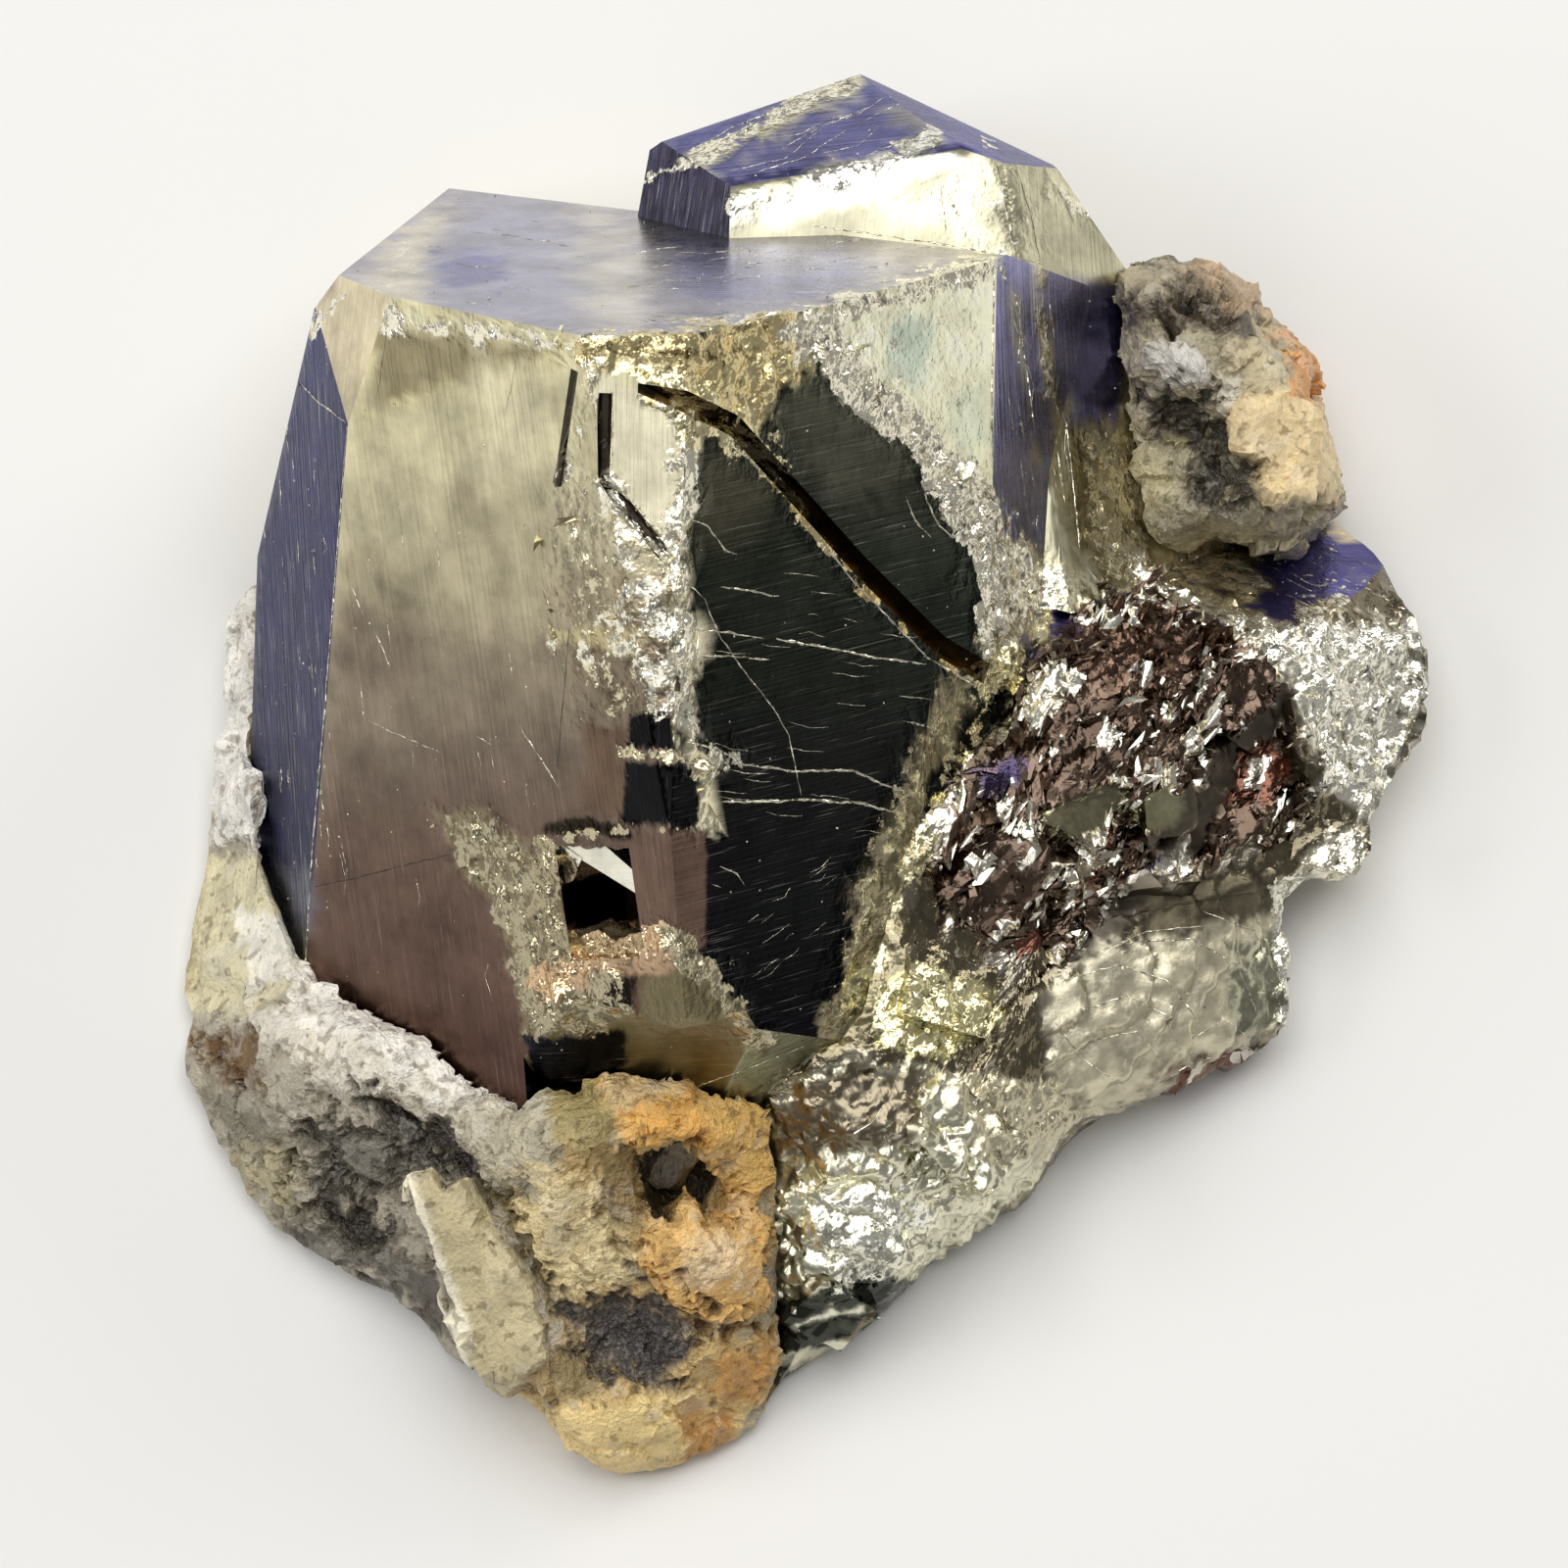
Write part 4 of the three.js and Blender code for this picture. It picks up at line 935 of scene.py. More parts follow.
# lift: millimetres out of the surface, clear: share of light that enters, speckle: share of dark grains, even: smoothness
matrixPatches = [
    dict(area=[(556, 1100), (600, 1080), (780, 1090), (800, 1420), (700, 1520), (560, 1500), (510, 1400), (560, 1330),
               (530, 1200)], tint=(206, 176, 118), clear=0.05, speckle=0.04, soft=26, wobble=26),
    dict(area=[(180, 860), (268, 880), (300, 900), (318, 1006), (260, 1040), (180, 1036)], tint=(232, 222, 184), clear=0.2,
         even=0.5, soft=16, wobble=12),
    dict(area=[(240, 930), (300, 930), (306, 1000), (262, 1010)], tint=(246, 241, 224), clear=0.15, even=0.6, soft=12,
         wobble=10),
    dict(area=[(220, 590), (270, 590), (270, 860), (215, 860)], tint=(248, 244, 234), clear=0.1, lift=0.25, soft=8,
         wobble=8),
    dict(area=[(250, 1046), (310, 1006), (360, 1031), (424, 1059), (456, 1091), (540, 1120), (604, 1130), (570, 1180),
               (500, 1190), (440, 1140), (380, 1120), (300, 1090)], tint=(240, 232, 214), clear=0.12, lift=0.35, soft=20,
         wobble=18),
    dict(path=[(312, 1022), (366, 1046), (430, 1080), (470, 1112), (540, 1134)], width=40, tint=(255, 250, 238), clear=0.05,
         lift=0.45, soft=16, wobble=14),
    dict(area=[(204, 1056), (256, 1058), (264, 1116), (228, 1112)], tint=(128, 100, 62), clear=0.15, lift=-0.25, soft=16,
         wobble=16),
    dict(path=[(214, 1066), (236, 1110)], width=12, tint=(96, 66, 30), lift=-0.3, soft=8, wobble=10),
    dict(area=[(196, 1110), (250, 1120), (330, 1180), (330, 1240), (290, 1262), (246, 1209)], tint=(158, 150, 128),
         clear=0.4, soft=16, wobble=16),
    dict(area=[(250, 1180), (318, 1182), (322, 1228), (270, 1232)], tint=(198, 186, 148), clear=0.3, lift=0.4, soft=14,
         wobble=14),
    dict(area=[(320, 1140), (400, 1124), (440, 1150), (480, 1206), (440, 1218), (390, 1204), (340, 1262), (312, 1220)],
         tint=(104, 98, 86), clear=0.5, lift=-0.6, soft=20, wobble=18),
    dict(area=[(350, 1160), (392, 1160), (396, 1200), (356, 1206)], tint=(150, 144, 130), clear=0.4, lift=0.3, soft=12,
         wobble=14),
    # near-black: painted shade in the crevice
    dict(path=[(396, 1136), (436, 1164), (486, 1206)], width=24, tint=(44, 34, 28), lift=-0.9, soft=12, wobble=10),
    dict(area=[(300, 1272), (334, 1240), (424, 1258), (470, 1320), (504, 1390), (440, 1366), (374, 1313)],
         tint=(116, 109, 94), clear=0.5, lift=-0.2, soft=16, wobble=14),
    # dark: painted shade in a hollow
    dict(area=[(336, 1228), (384, 1228), (388, 1272), (344, 1268)], tint=(54, 48, 40), clear=0.2, lift=-0.7, soft=14,
         wobble=12),
    dict(area=[(420, 1202), (474, 1208), (512, 1254), (548, 1309), (560, 1384), (528, 1418), (490, 1382), (446, 1266)],
         tint=(206, 192, 150), clear=0.15, lift=0.8, soft=7, wobble=5, even=0.9),
    dict(path=[(428, 1210), (450, 1270), (492, 1376)], width=9, tint=(250, 242, 214), clear=0.1, lift=0.95, soft=6,
         wobble=4, even=0.9),
    # painted shadow beside the raised blade
    dict(area=[(478, 1212), (536, 1222), (570, 1292), (562, 1350), (548, 1309), (512, 1254)], tint=(128, 112, 74),
         clear=0.15, lift=-0.5, soft=10, wobble=8),
    dict(area=[(470, 1130), (560, 1120), (590, 1150), (570, 1210), (500, 1204)], tint=(206, 196, 168), clear=0.2, lift=0.3,
         soft=14, wobble=16),
    dict(area=[(524, 1186), (620, 1196), (660, 1280), (640, 1330), (570, 1330), (556, 1280)], tint=(240, 220, 168),
         clear=0.08, lift=0.25, soft=14, wobble=16),
    dict(area=[(580, 1096), (700, 1100), (776, 1116), (780, 1210), (742, 1250), (724, 1204), (690, 1168), (640, 1172),
               (586, 1150)], tint=(238, 192, 112), lift=0.4, soft=12, wobble=16),
    dict(area=[(640, 1130), (700, 1120), (720, 1160), (660, 1166)], tint=(228, 172, 86), lift=0.7, soft=12, wobble=12),
    dict(area=[(600, 1092), (690, 1092), (690, 1124), (620, 1130)], tint=(232, 200, 144), lift=0.6, soft=12, wobble=12),
    dict(area=[(562, 1118), (612, 1106), (628, 1162), (600, 1184), (572, 1164)], tint=(184, 166, 112), clear=0.15, lift=0.3,
         soft=7, wobble=5),
    # dark: painted shade in the cavity
    dict(area=[(640, 1188), (690, 1164), (728, 1196), (738, 1236), (684, 1244), (648, 1222)], tint=(58, 46, 28), lift=-1.0,
         soft=18, wobble=12),
    dict(area=[(610, 1180), (652, 1190), (662, 1270), (630, 1260)], tint=(150, 128, 84), clear=0.1, soft=12, wobble=12),
    dict(area=[(658, 1262), (700, 1238), (768, 1246), (776, 1334), (720, 1350), (668, 1322)], tint=(232, 186, 112),
         lift=0.7, soft=12, wobble=14),
    dict(area=[(700, 1256), (748, 1262), (742, 1300), (704, 1296)], tint=(234, 206, 162), lift=0.85, soft=16, wobble=12),
    dict(area=[(570, 1326), (660, 1306), (724, 1350), (704, 1424), (616, 1424), (570, 1390)], tint=(120, 108, 92),
         speckle=0.35, lift=-0.35, soft=18, wobble=18),
    dict(area=[(600, 1346), (680, 1336), (700, 1390), (640, 1410)], tint=(88, 82, 80), speckle=0.4, lift=-0.3, soft=16,
         wobble=16),
    dict(area=[(716, 1376), (772, 1370), (772, 1444), (726, 1444)], tint=(214, 160, 88), lift=0.25, soft=14, wobble=16),
    dict(path=[(700, 1350), (740, 1360), (772, 1350)], width=14, tint=(110, 76, 44), lift=-0.5, soft=8, wobble=8),
    dict(area=[(540, 1428), (600, 1422), (700, 1424), (780, 1440), (720, 1490), (640, 1514), (576, 1474)],
         tint=(244, 216, 150), lift=0.2, soft=14, wobble=14),
    dict(area=[(690, 1450), (740, 1440), (750, 1470), (700, 1490)], tint=(206, 156, 88), soft=14, wobble=14),
    dict(area=[(556, 1380), (600, 1386), (604, 1430), (560, 1436)], tint=(160, 140, 96), clear=0.1, soft=12, wobble=12),
]
capPatches = [
    dict(area=[(1130, 262), (1240, 266), (1316, 336), (1290, 366), (1222, 348), (1140, 342)], tint=(116, 104, 84),
         speckle=0.32, soft=16, wobble=16),
    dict(area=[(1150, 286), (1190, 276), (1210, 290), (1170, 310)], tint=(176, 164, 138), lift=0.3, soft=12, wobble=12),
    # near-black pores: painted shade in the holes
    dict(path=[(1232, 296), (1256, 310)], width=22, tint=(30, 24, 18), lift=-1.2, soft=9, wobble=7),
    dict(path=[(1204, 296), (1216, 306)], width=14, tint=(40, 33, 26), lift=-0.8, soft=9, wobble=7),
    dict(path=[(1184, 322), (1198, 334)], width=14, tint=(44, 36, 28), lift=-0.8, soft=9, wobble=7),
    dict(path=[(1230, 274), (1290, 312), (1322, 346)], width=20, tint=(200, 174, 140), lift=0.2, soft=12, wobble=10),
    dict(area=[(1140, 346), (1180, 336), (1190, 400), (1150, 414)], tint=(184, 174, 144), speckle=0.1, soft=14, wobble=14),
    dict(area=[(1176, 352), (1228, 346), (1240, 392), (1188, 402)], tint=(228, 224, 214), clear=0.2, lift=0.25, soft=12,
         wobble=12),
    dict(area=[(1236, 344), (1300, 336), (1330, 400), (1270, 412)], tint=(204, 190, 154), speckle=0.05, lift=0.1, soft=14,
         wobble=14),
    dict(area=[(1236, 386), (1262, 380), (1270, 420), (1244, 426)], tint=(230, 222, 200), clear=0.2, lift=0.4, soft=8,
         wobble=8),
    dict(area=[(1258, 414), (1300, 398), (1350, 410), (1360, 470), (1356, 516), (1290, 510), (1262, 474)],
         tint=(236, 212, 164), clear=0.08, lift=0.55, soft=10, wobble=7, even=0.7),
    dict(area=[(1308, 344), (1350, 358), (1356, 404), (1322, 404)], tint=(224, 164, 102), lift=0.2, soft=12, wobble=10),
    dict(area=[(1160, 404), (1232, 400), (1244, 458), (1168, 456)], tint=(86, 78, 64), speckle=0.4, lift=-0.45, soft=16,
         wobble=16),
    # dark: painted shade in a crevice
    dict(path=[(1176, 430), (1214, 436)], width=13, tint=(48, 42, 34), lift=-0.6, soft=8, wobble=8),
    dict(area=[(1204, 474), (1272, 470), (1276, 530), (1214, 528)], tint=(86, 78, 62), speckle=0.35, lift=-0.45, soft=16,
         wobble=16),
    dict(area=[(1150, 452), (1204, 458), (1210, 520), (1156, 530)], tint=(186, 176, 138), lift=0.2, soft=14, wobble=14),
    dict(area=[(1150, 520), (1210, 528), (1340, 522), (1340, 604), (1160, 604)], tint=(164, 154, 124), speckle=0.2, soft=16,
         wobble=16),
]
# Longest edges in mm at the front and elsewhere, angle of a sharp edge, and how much looser a rough patch's margin is
rockShape = {"fine": 0.25, "side": 0.42, "sharp": 34, "looser": 1.7}
# Rock outside the patches; crumb: share of loose grains, lumps and grit: height of the relief, bump: its depth in m
quartzLook = {"tint": (204, 194, 172), "clear": 0.35, "speckle": 0.0, "crumb": 0.05, "lumps": 0.35, "grit": 0.02,
              "bump": 0.0006}
capLook = {"tint": (180, 170, 142), "clear": 0.05, "speckle": 0.08, "crumb": 0.4, "lumps": 0.5, "grit": 0.05,
           "bump": 0.0004}


def makeRock(node, name, look, patches):
    points, tris = solidOf(node)

    def lengthAt(spots, front):
        height = laidDown(spots)[:, 2] * 1000
        return np.where(height < 0.02, 4, np.where(front & (height > 0.3), rockShape["fine"], rockShape["side"]))

    points, tris, tags = refine(points, tris, np.zeros(len(tris), int), lengthAt)
    print(name, "mesh", len(tris))
    view, normal, uneven = seen(points), vertexNormals(points, tris), unevenness(points)
    tint = np.tile(colour(*look["tint"]), (len(points), 1))
    laid = {key: np.full(len(points), look.get(key, 0.0)) for key in ("clear", "speckle", "lift", "crumb", "even")}
    front = normal[:, 2] > -0.4
    for patch in patches:
        looser = 1 if patch.get("even", 0) > 0.3 else rockShape["looser"]
        part = share(dict(patch, soft=looser * patch["soft"], wobble=looser * patch["wobble"]), view, uneven) * front
        tint += part[:, None] * (colour(*patch["tint"]) - tint)
        for key, array in laid.items():
            array += part * (patch.get(key, 0) - array)
    blocky = 0.7 * facets(points, 1.9, 81, 1.2)[0] + 0.2 * facets(points, 0.8, 85, 1.2)[0]
    lumpy = (1 - laid["even"]) * look["lumps"] * (0.3 * crumple(points, 1.7, 71) + blocky)
    rise = laid["lift"] + lumpy + look["grit"] * waves(points, 0.45, 91)
    high = np.clip(laidDown(points)[:, 2] * 1000 / 1.2 - 0.2, 0, 1)
    low = laidDown(points + (rise * high)[:, None] * normal)
    low[:, 2] = np.maximum(low[:, 2], 0)
    values = {key: laid[key] for key in ("clear", "speckle", "even")}
    values["shards"] = high * laid["crumb"]
    return meshOf(name, upright(low), tris, values, {"tint": tint}, None, rockShape["sharp"])


def rockMaterial(name, depth):
    material, w = newMaterial(name)
    place = w.make("ShaderNodeTexCoord", {}, {}, "Object")
    tint, clear, speckle = w.attribute("tint", "Color"), w.attribute("clear"), w.attribute("speckle")
    broad, mid = w.noise(place, 620.0, 3.0, 0.65), w.noise(place, 1700.0, 2.0, 0.5)
    small = w.noise(place, 4200.0, 2.0, 0.6)
    shift = w.scaled(w.make("ShaderNodeCombineXYZ", {}, {0: broad, 1: small, 2: broad}), (0.0008, 0.0008, 0.0008))
    warped = w.make("ShaderNodeVectorMath", {"operation": "ADD"}, {0: place, 1: shift})
    odds, other = w.grains(warped, 0.00075)[1:]
    value = 0.3 + broad * 0.75 + small * 0.3 + odds * 0.24
    base = w.blend(1.0, tint, grey(w, value), "MULTIPLY")
    base = w.blend(other.between(0.86, 0.9) * 0.16, base, (0.9, 0.86, 0.76, 1))
    base = w.blend(mid.between(0.42, 0.34) * 0.6, base, w.blend(1.0, tint, (0.3, 0.25, 0.2, 1), "MULTIPLY"))
    dark = small.between(0.62, 0.5) * speckle.between(0.02, 0.5)
    base = w.blend(dark * 0.85, base, (0.02, 0.017, 0.014, 1))
    relief = (small * 0.5 + broad * 0.6) * (1 - w.attribute("even") * 0.6)
    bump = w.make("ShaderNodeBump", {}, {"Strength": 0.8, "Distance": depth, "Height": relief})
    rough = (0.2 + mid * 0.4).clamped()
    stone = w.make("ShaderNodeBsdfPrincipled", {}, {"Base Color": base, "Roughness": rough, "Normal": bump})
    glass = w.make("ShaderNodeBsdfPrincipled", {}, {"Base Color": base, "Roughness": 0.18, "Normal": bump,
                                                    "Transmission Weight": 0.7, "IOR": 1.54})
    fill = (clear * (0.5 + broad)).clamped()
    finishWith(w, w.make("ShaderNodeMixShader", {}, {0: fill, 1: stone, 2: glass}))
    return material


# Lines of growth and cracks on the crystal faces: face, width in mm, points in the front view. The bright lines along
# the crystal edges paint the edges' highlights as well as their granular ridges.
# Fine arcs on the shell-like break have points alone.

shellArcs = [
    [(1085, 1000), (1140, 985), (1190, 1000), (1222, 1040)], [(1100, 1032), (1150, 1016), (1190, 1036), (1206, 1076)],
    [(1150, 962), (1215, 958), (1262, 984), (1282, 1032)], [(1118, 1062), (1160, 1052), (1188, 1084)],
    [(1228, 930), (1280, 950), (1304, 1000)], [(1074, 1040), (1104, 1080), (1150, 1112)],
    [(1216, 1060), (1250, 1040), (1276, 1060)], [(1176, 1110), (1220, 1082), (1262, 1076)],
    [(1120, 975), (1170, 950), (1230, 945)],
]
growthLines = [
    ("left", 0.15, [(354, 436), (346, 540), (338, 640), (330, 740), (322, 830), (316, 900)]),
    ("left", 0.12, [(316, 910), (313, 960), (311, 1000)]),
    ("leftBevel", 0.14, [(303, 388), (326, 411), (354, 432)]), ("leftBevel", 0.13, [(303, 362), (330, 324), (352, 300)]),
    ("top", 0.16, [(352, 298), (392, 322), (450, 330), (520, 340), (592, 357)]),
    ("rightSide", 0.14, [(1015, 276), (1013, 350), (1012, 420), (1013, 468)]),
    ("rearBlue", 0.14, [(676, 172), (740, 142), (852, 88), (876, 75)]),
    ("rearFront", 0.14, [(826, 230), (900, 240), (1000, 256), (1066, 270)]),
    ("right", 0.16, [(736, 599), (765, 603), (795, 609)]), ("right", 0.13, [(703, 642), (740, 645), (779, 652)]),
    ("right", 0.2, [(792, 652), (850, 662), (900, 672), (945, 678)]), ("right", 0.17, [(703, 668), (744, 670), (785, 673)]),
    ("right", 0.15, [(918, 710), (951, 714)]), ("right", 0.15, [(921, 735), (958, 745)]),
    ("right", 0.2, [(700, 757), (732, 764), (760, 780), (812, 787), (870, 786), (900, 800), (925, 808)]),
    ("right", 0.2, [(737, 818), (780, 818), (825, 816), (880, 820), (911, 828)]),
    ("right", 0.11, [(699, 592), (719, 612), (732, 645), (759, 685), (789, 722), (805, 751), (812, 785), (818, 812)]),
    ("right", 0.13, [(735, 884), (752, 892), (760, 904)]), ("right", 0.11, [(726, 902), (736, 906)]),
    ("right", 0.16, [(940, 478), (946, 512), (958, 536), (972, 548), (984, 540), (976, 522)]),
    ("right", 0.14, [(924, 506), (934, 532), (950, 548)]),
    ("right", 0.14, [(700, 528), (722, 536), (740, 562), (752, 566)]),
    ("left", 0.11, [(357, 595), (364, 612), (371, 629)]), ("left", 0.11, [(382, 645), (392, 664), (399, 685)]),
    ("left", 0.1, [(376, 735), (412, 752), (449, 768)]), ("left", 0.1, [(485, 751), (503, 760)]),
    ("left", 0.1, [(530, 741), (550, 772), (571, 804)]),
    ("rightSide", 0.16, [(1036, 300), (1048, 380), (1056, 440)]),
    ("rightSide", 0.13, [(1088, 430), (1096, 500), (1102, 560)]),
    ("rearFront", 0.12, [(960, 190), (966, 240)]), ("rearRight", 0.14, [(1022, 190), (1036, 262)]),
    ("right", 0.16, [(x - 10, y + 14) for x, y in furrow[2:]]),
    ("strip", 0.1, [(700, 1112), (760, 1092), (820, 1068)]),
]
cracks = [
    ("left", 0.22, [(318, 905), (359, 897), (410, 884), (462, 871)]), ("left", 0.13, [(395, 335), (390, 372), (384, 408)]),
    ("left", 0.13, [(528, 362), (522, 392), (515, 425)]), ("left", 0.2, [(581, 640), (574, 720), (568, 794)]),
    ("edge", 0.18, [(600, 690), (594, 740), (588, 794)]), ("edge", 0.22, [(612, 490), (640, 522), (684, 571)]),
    ("right", 0.08, [(868, 880), (900, 850), (920, 832)]), ("rearRight", 0.2, [(1040, 180), (1052, 220), (1062, 268)]),
    ("rearRight", 0.1, [(1014, 160), (1024, 190)]), ("left", 0.08, [(372, 1000), (384, 940), (392, 900)]),
]

# Short fine lines scattered over a face: how many, box in the front view, direction, how long (units) and how wide (mm)
strays = [
    ("leftSide", 34, (268, 440, 338, 880), (0.06, 1.0), (8, 30), (0.05, 0.11)),
    ("top", 26, (640, 240, 960, 300), (1.0, -0.16), (14, 60), (0.05, 0.1)),
    ("top", 16, (430, 225, 600, 330), (1.0, 0.12), (10, 40), (0.05, 0.1)),
    ("rearBlue", 14, (720, 110, 920, 160), (1.0, -0.47), (24, 110), (0.05, 0.1)),
    ("right", 26, (720, 580, 920, 860), (1.0, 0.1), (10, 46), (0.035, 0.07)),
    ("right", 14, (740, 880, 860, 1030), (0.8, -0.6), (8, 36), (0.03, 0.06)),
    ("left", 16, (340, 480, 540, 1020), (0.1, 1.0), (14, 60), (0.03, 0.06)),
    ("rightSide", 16, (1030, 310, 1090, 560), (0.14, 1.0), (16, 60), (0.05, 0.1)),
    ("brokenTop", 16, (1280, 570, 1420, 640), (1.0, 0.5), (8, 30), (0.06, 0.12)),
]


def strayLines():
    rng = np.random.default_rng(77)
    lines = []
    for face, count, (x0, y0, x1, y1), way, lengths, widths in strays:
        for k in range(count):
            x, y, half = rng.uniform(x0, x1), rng.uniform(y0, y1), rng.uniform(*lengths) / 2
            bend = rng.normal(0, 0.12 * half)
            lines.append((face, rng.uniform(*widths), [(x - half * way[0], y - half * way[1]), (x + bend, y + bend),
                                                       (x + half * way[0], y + half * way[1])]))
    return lines


# Small stepped blocks in the notch: outline in the front view, depth below the left face, colour, how broken
steps = [
    ([(546, 854), (602, 857), (642, 892), (650, 918)], 0.35, (250, 247, 230), 0.0),
    ([(548, 848), (566, 862), (588, 878), (578, 900), (566, 908), (562, 930), (546, 938)], 0.3, (150, 136, 108), 0.6),
    ([(546, 928), (562, 928), (570, 944), (586, 958), (604, 950), (622, 962), (640, 954), (660, 950), (660, 994),
      (552, 994)], 0.35, (186, 164, 128), 0.7),
    # the deepest block is dark as painted shade in the same gap
    ([(600, 838), (628, 836), (640, 852), (606, 860)], 0.9, (52, 45, 34), 0.3),
]
stepShape = {"thick": 2.2, "fine": 0.25, "sharp": 35}


def turnedTo(tri, outline, start, way):
    a, b, c = (outline[k - start] for k in tri)
    turned = (b[0] - a[0]) * (c[1] - a[1]) - (b[1] - a[1]) * (c[0] - a[0]) < 0
    return tri if turned == way else tri[::-1]


def makeSteps():
    points, tris = [], []
    out = facing(*crystalFaces["left"][:2])
    for outline, depth in (step[:2] for step in steps):
        rim = onFace("left", outline) - depth * out
        start, count = len(points), len(rim)
        points += [*rim, *(rim - stepShape["thick"] * out)]
        flat = [tuple(start + k for k in tri) for tri in tessellate_polygon([[Vector((*spot, 0)) for spot in outline]])]
        clockwise = sum(a[0] * b[1] - b[0] * a[1] for a, b in zip(outline, outline[1:] + outline[:1])) > 0
        fan = [turnedTo(tri, outline, start, not clockwise) for tri in flat]
        sides = [(start + k, start + (k + 1) % count, start + count + k) for k in range(count)]
        sides += [(start + (k + 1) % count, start + count + (k + 1) % count, start + count + k) for k in range(count)]
        base = [(a + count, c + count, b + count) for a, b, c in fan]
        tris += fan + sides + base
    points, tris = np.array(points), np.array(tris)
    points, tris, tags = refine(points, tris, np.zeros(len(tris), int),
                                lambda spots, front: np.full(len(spots), stepShape["fine"]))
    owner = np.argmax([inside(seen(points), step[0]) for step in steps], 0)
    tint = np.array([colour(*steps[k][2]) for k in owner])
    grain = np.array([steps[k][3] for k in owner])
    points = points + (grain * 0.25 * crumple(points, 0.8, 95))[:, None] * vertexNormals(points, tris)
    values = {"grain": grain, "gloss": np.full(len(points), 0.26), "stria": np.full(len(points), 0.2), "crust": grain}
    uv = points[tris.ravel()][:, :2]
    return meshOf("notchSteps", points, tris, values, {"tint": tint, "crustTint": tint * 1.3}, uv, stepShape["sharp"])


def lineTree():
    tree = bpy.data.node_groups.new("faceLines", "GeometryNodeTree")
    for name, kind, way in (("Geometry", "NodeSocketGeometry", "INPUT"), ("Sides", "NodeSocketInt", "INPUT"),
                            ("Material", "NodeSocketMaterial", "INPUT"), ("Geometry", "NodeSocketGeometry", "OUTPUT")):
        tree.interface.new_socket(name, in_out=way, socket_type=kind)
    w = Wire(tree)
    source = w.make("NodeGroupInput", {}, {})
    sides, finish = Wire(tree, source.socket.node.outputs[1]), Wire(tree, source.socket.node.outputs[2])
    ring = w.make("GeometryNodeCurvePrimitiveCircle", {}, {"Resolution": sides, "Radius": 1.0})
    radius = w.make("GeometryNodeInputRadius", {}, {})
    tube = w.make("GeometryNodeCurveToMesh", {}, {"Curve": source, "Profile Curve": ring, "Fill Caps": True})
    for socket in tube.socket.node.inputs:
        if socket.name == "Scale":
            tree.links.new(radius.socket, socket)
    real = w.make("GeometryNodeRealizeInstances", {}, {0: tube})
    dressed = w.make("GeometryNodeSetMaterial", {}, {"Geometry": real, "Material": finish})
    w.make("NodeGroupOutput", {}, {0: dressed})
    return tree


def plainMesh(piece):
    evaluated = piece.evaluated_get(bpy.context.evaluated_depsgraph_get())
    mesh = bpy.data.meshes.new_from_object(evaluated)
    made = bpy.data.objects.new(piece.name + "Mesh", mesh)
    bpy.context.collection.objects.link(made)
    bpy.data.objects.remove(piece, do_unlink=True)
    return made


def useTree(piece, tree, **inputs):
    modifier = piece.modifiers.new(tree.name, "NODES")
    modifier.node_group = tree
    for item in tree.interface.items_tree:
        if item.in_out == "INPUT" and item.name in inputs:
            modifier[item.identifier] = inputs[item.name]


# Where lines of sight through points of the front view meet the crystals, as unbroken runs on one face
def runsOn(skin, face, path):
    path = np.array(path, float)
    spots = []
    for a, b in zip(path[:-1], path[1:]):
        count = max(2, int(np.hypot(*(b - a)) / 4))
        spots += [a + (b - a) * k / count for k in range(count)]
    eye = Vector(laidDown([(0, 0, pose["viewer"])])[0])
    runs, last = [[]], None
    for px, py in spots + [path[-1]]:
        aimAt = Vector(laidDown([(*drawnAt(px, py), 0)])[0])
        spot, normal = skin.ray_cast(eye, (aimAt - eye).normalized())[:2]
        if spot is None or face and (toFrame.T @ np.array(normal)) @ facing(*crystalFaces[face][:2]) < 0.75:
            last = None
            continue
        if last is None or (spot - last).length > 0.0005:
            runs.append([])
        runs[-1].append((*upright(spot), *(toFrame.T @ np.array(normal))))
        last = spot
    return [np.array(run) for run in runs if len(run) > 2]


# sink: share of a line's radius that lies below the face
growthAndHighlightLook = {"tint": (0.86, 0.82, 0.66), "rough": 0.25, "metal": 1.0, "sink": 0.35, "arcWidth": 0.11}
crackLook = {"tint": (0.03, 0.025, 0.02), "rough": 0.6, "metal": 0.0, "sink": 0.8}


def drawLines(name, lines, look, material, skin):
    curve = bpy.data.curves.new(name, "CURVE")
    curve.dimensions = "3D"
    for count, (face, width, path) in enumerate(lines):
        for run in runsOn(skin, face, path):
            spots, out = run[:, :3], run[:, 3:]
            wander = np.stack([waves(spots + count, 0.5, 201 + n) for n in range(3)], 1)
            wander -= (wander * out).sum(1)[:, None] * out
            swell = 0.55 + 0.45 * waves(spots + count, 0.35, 211)
            taper = np.minimum(1, np.minimum(np.arange(len(spots)), np.arange(len(spots))[::-1]) / 3 + 0.25)
            radius = 0.5 * width * taper * np.clip(swell, 0.15, 1)
            spots = laidDown(spots + 0.05 * wander - look["sink"] * radius[:, None] * out)
            spline = curve.splines.new("POLY")
            spline.points.add(len(spots) - 1)
            for point, spot, thick in zip(spline.points, spots, radius):
                point.co, point.radius = (*spot, 1), thick / 1000
    piece = bpy.data.objects.new(name, curve)
    bpy.context.collection.objects.link(piece)
    useTree(piece, lineTree(), Sides=6, Material=material)
    return plainMesh(piece)


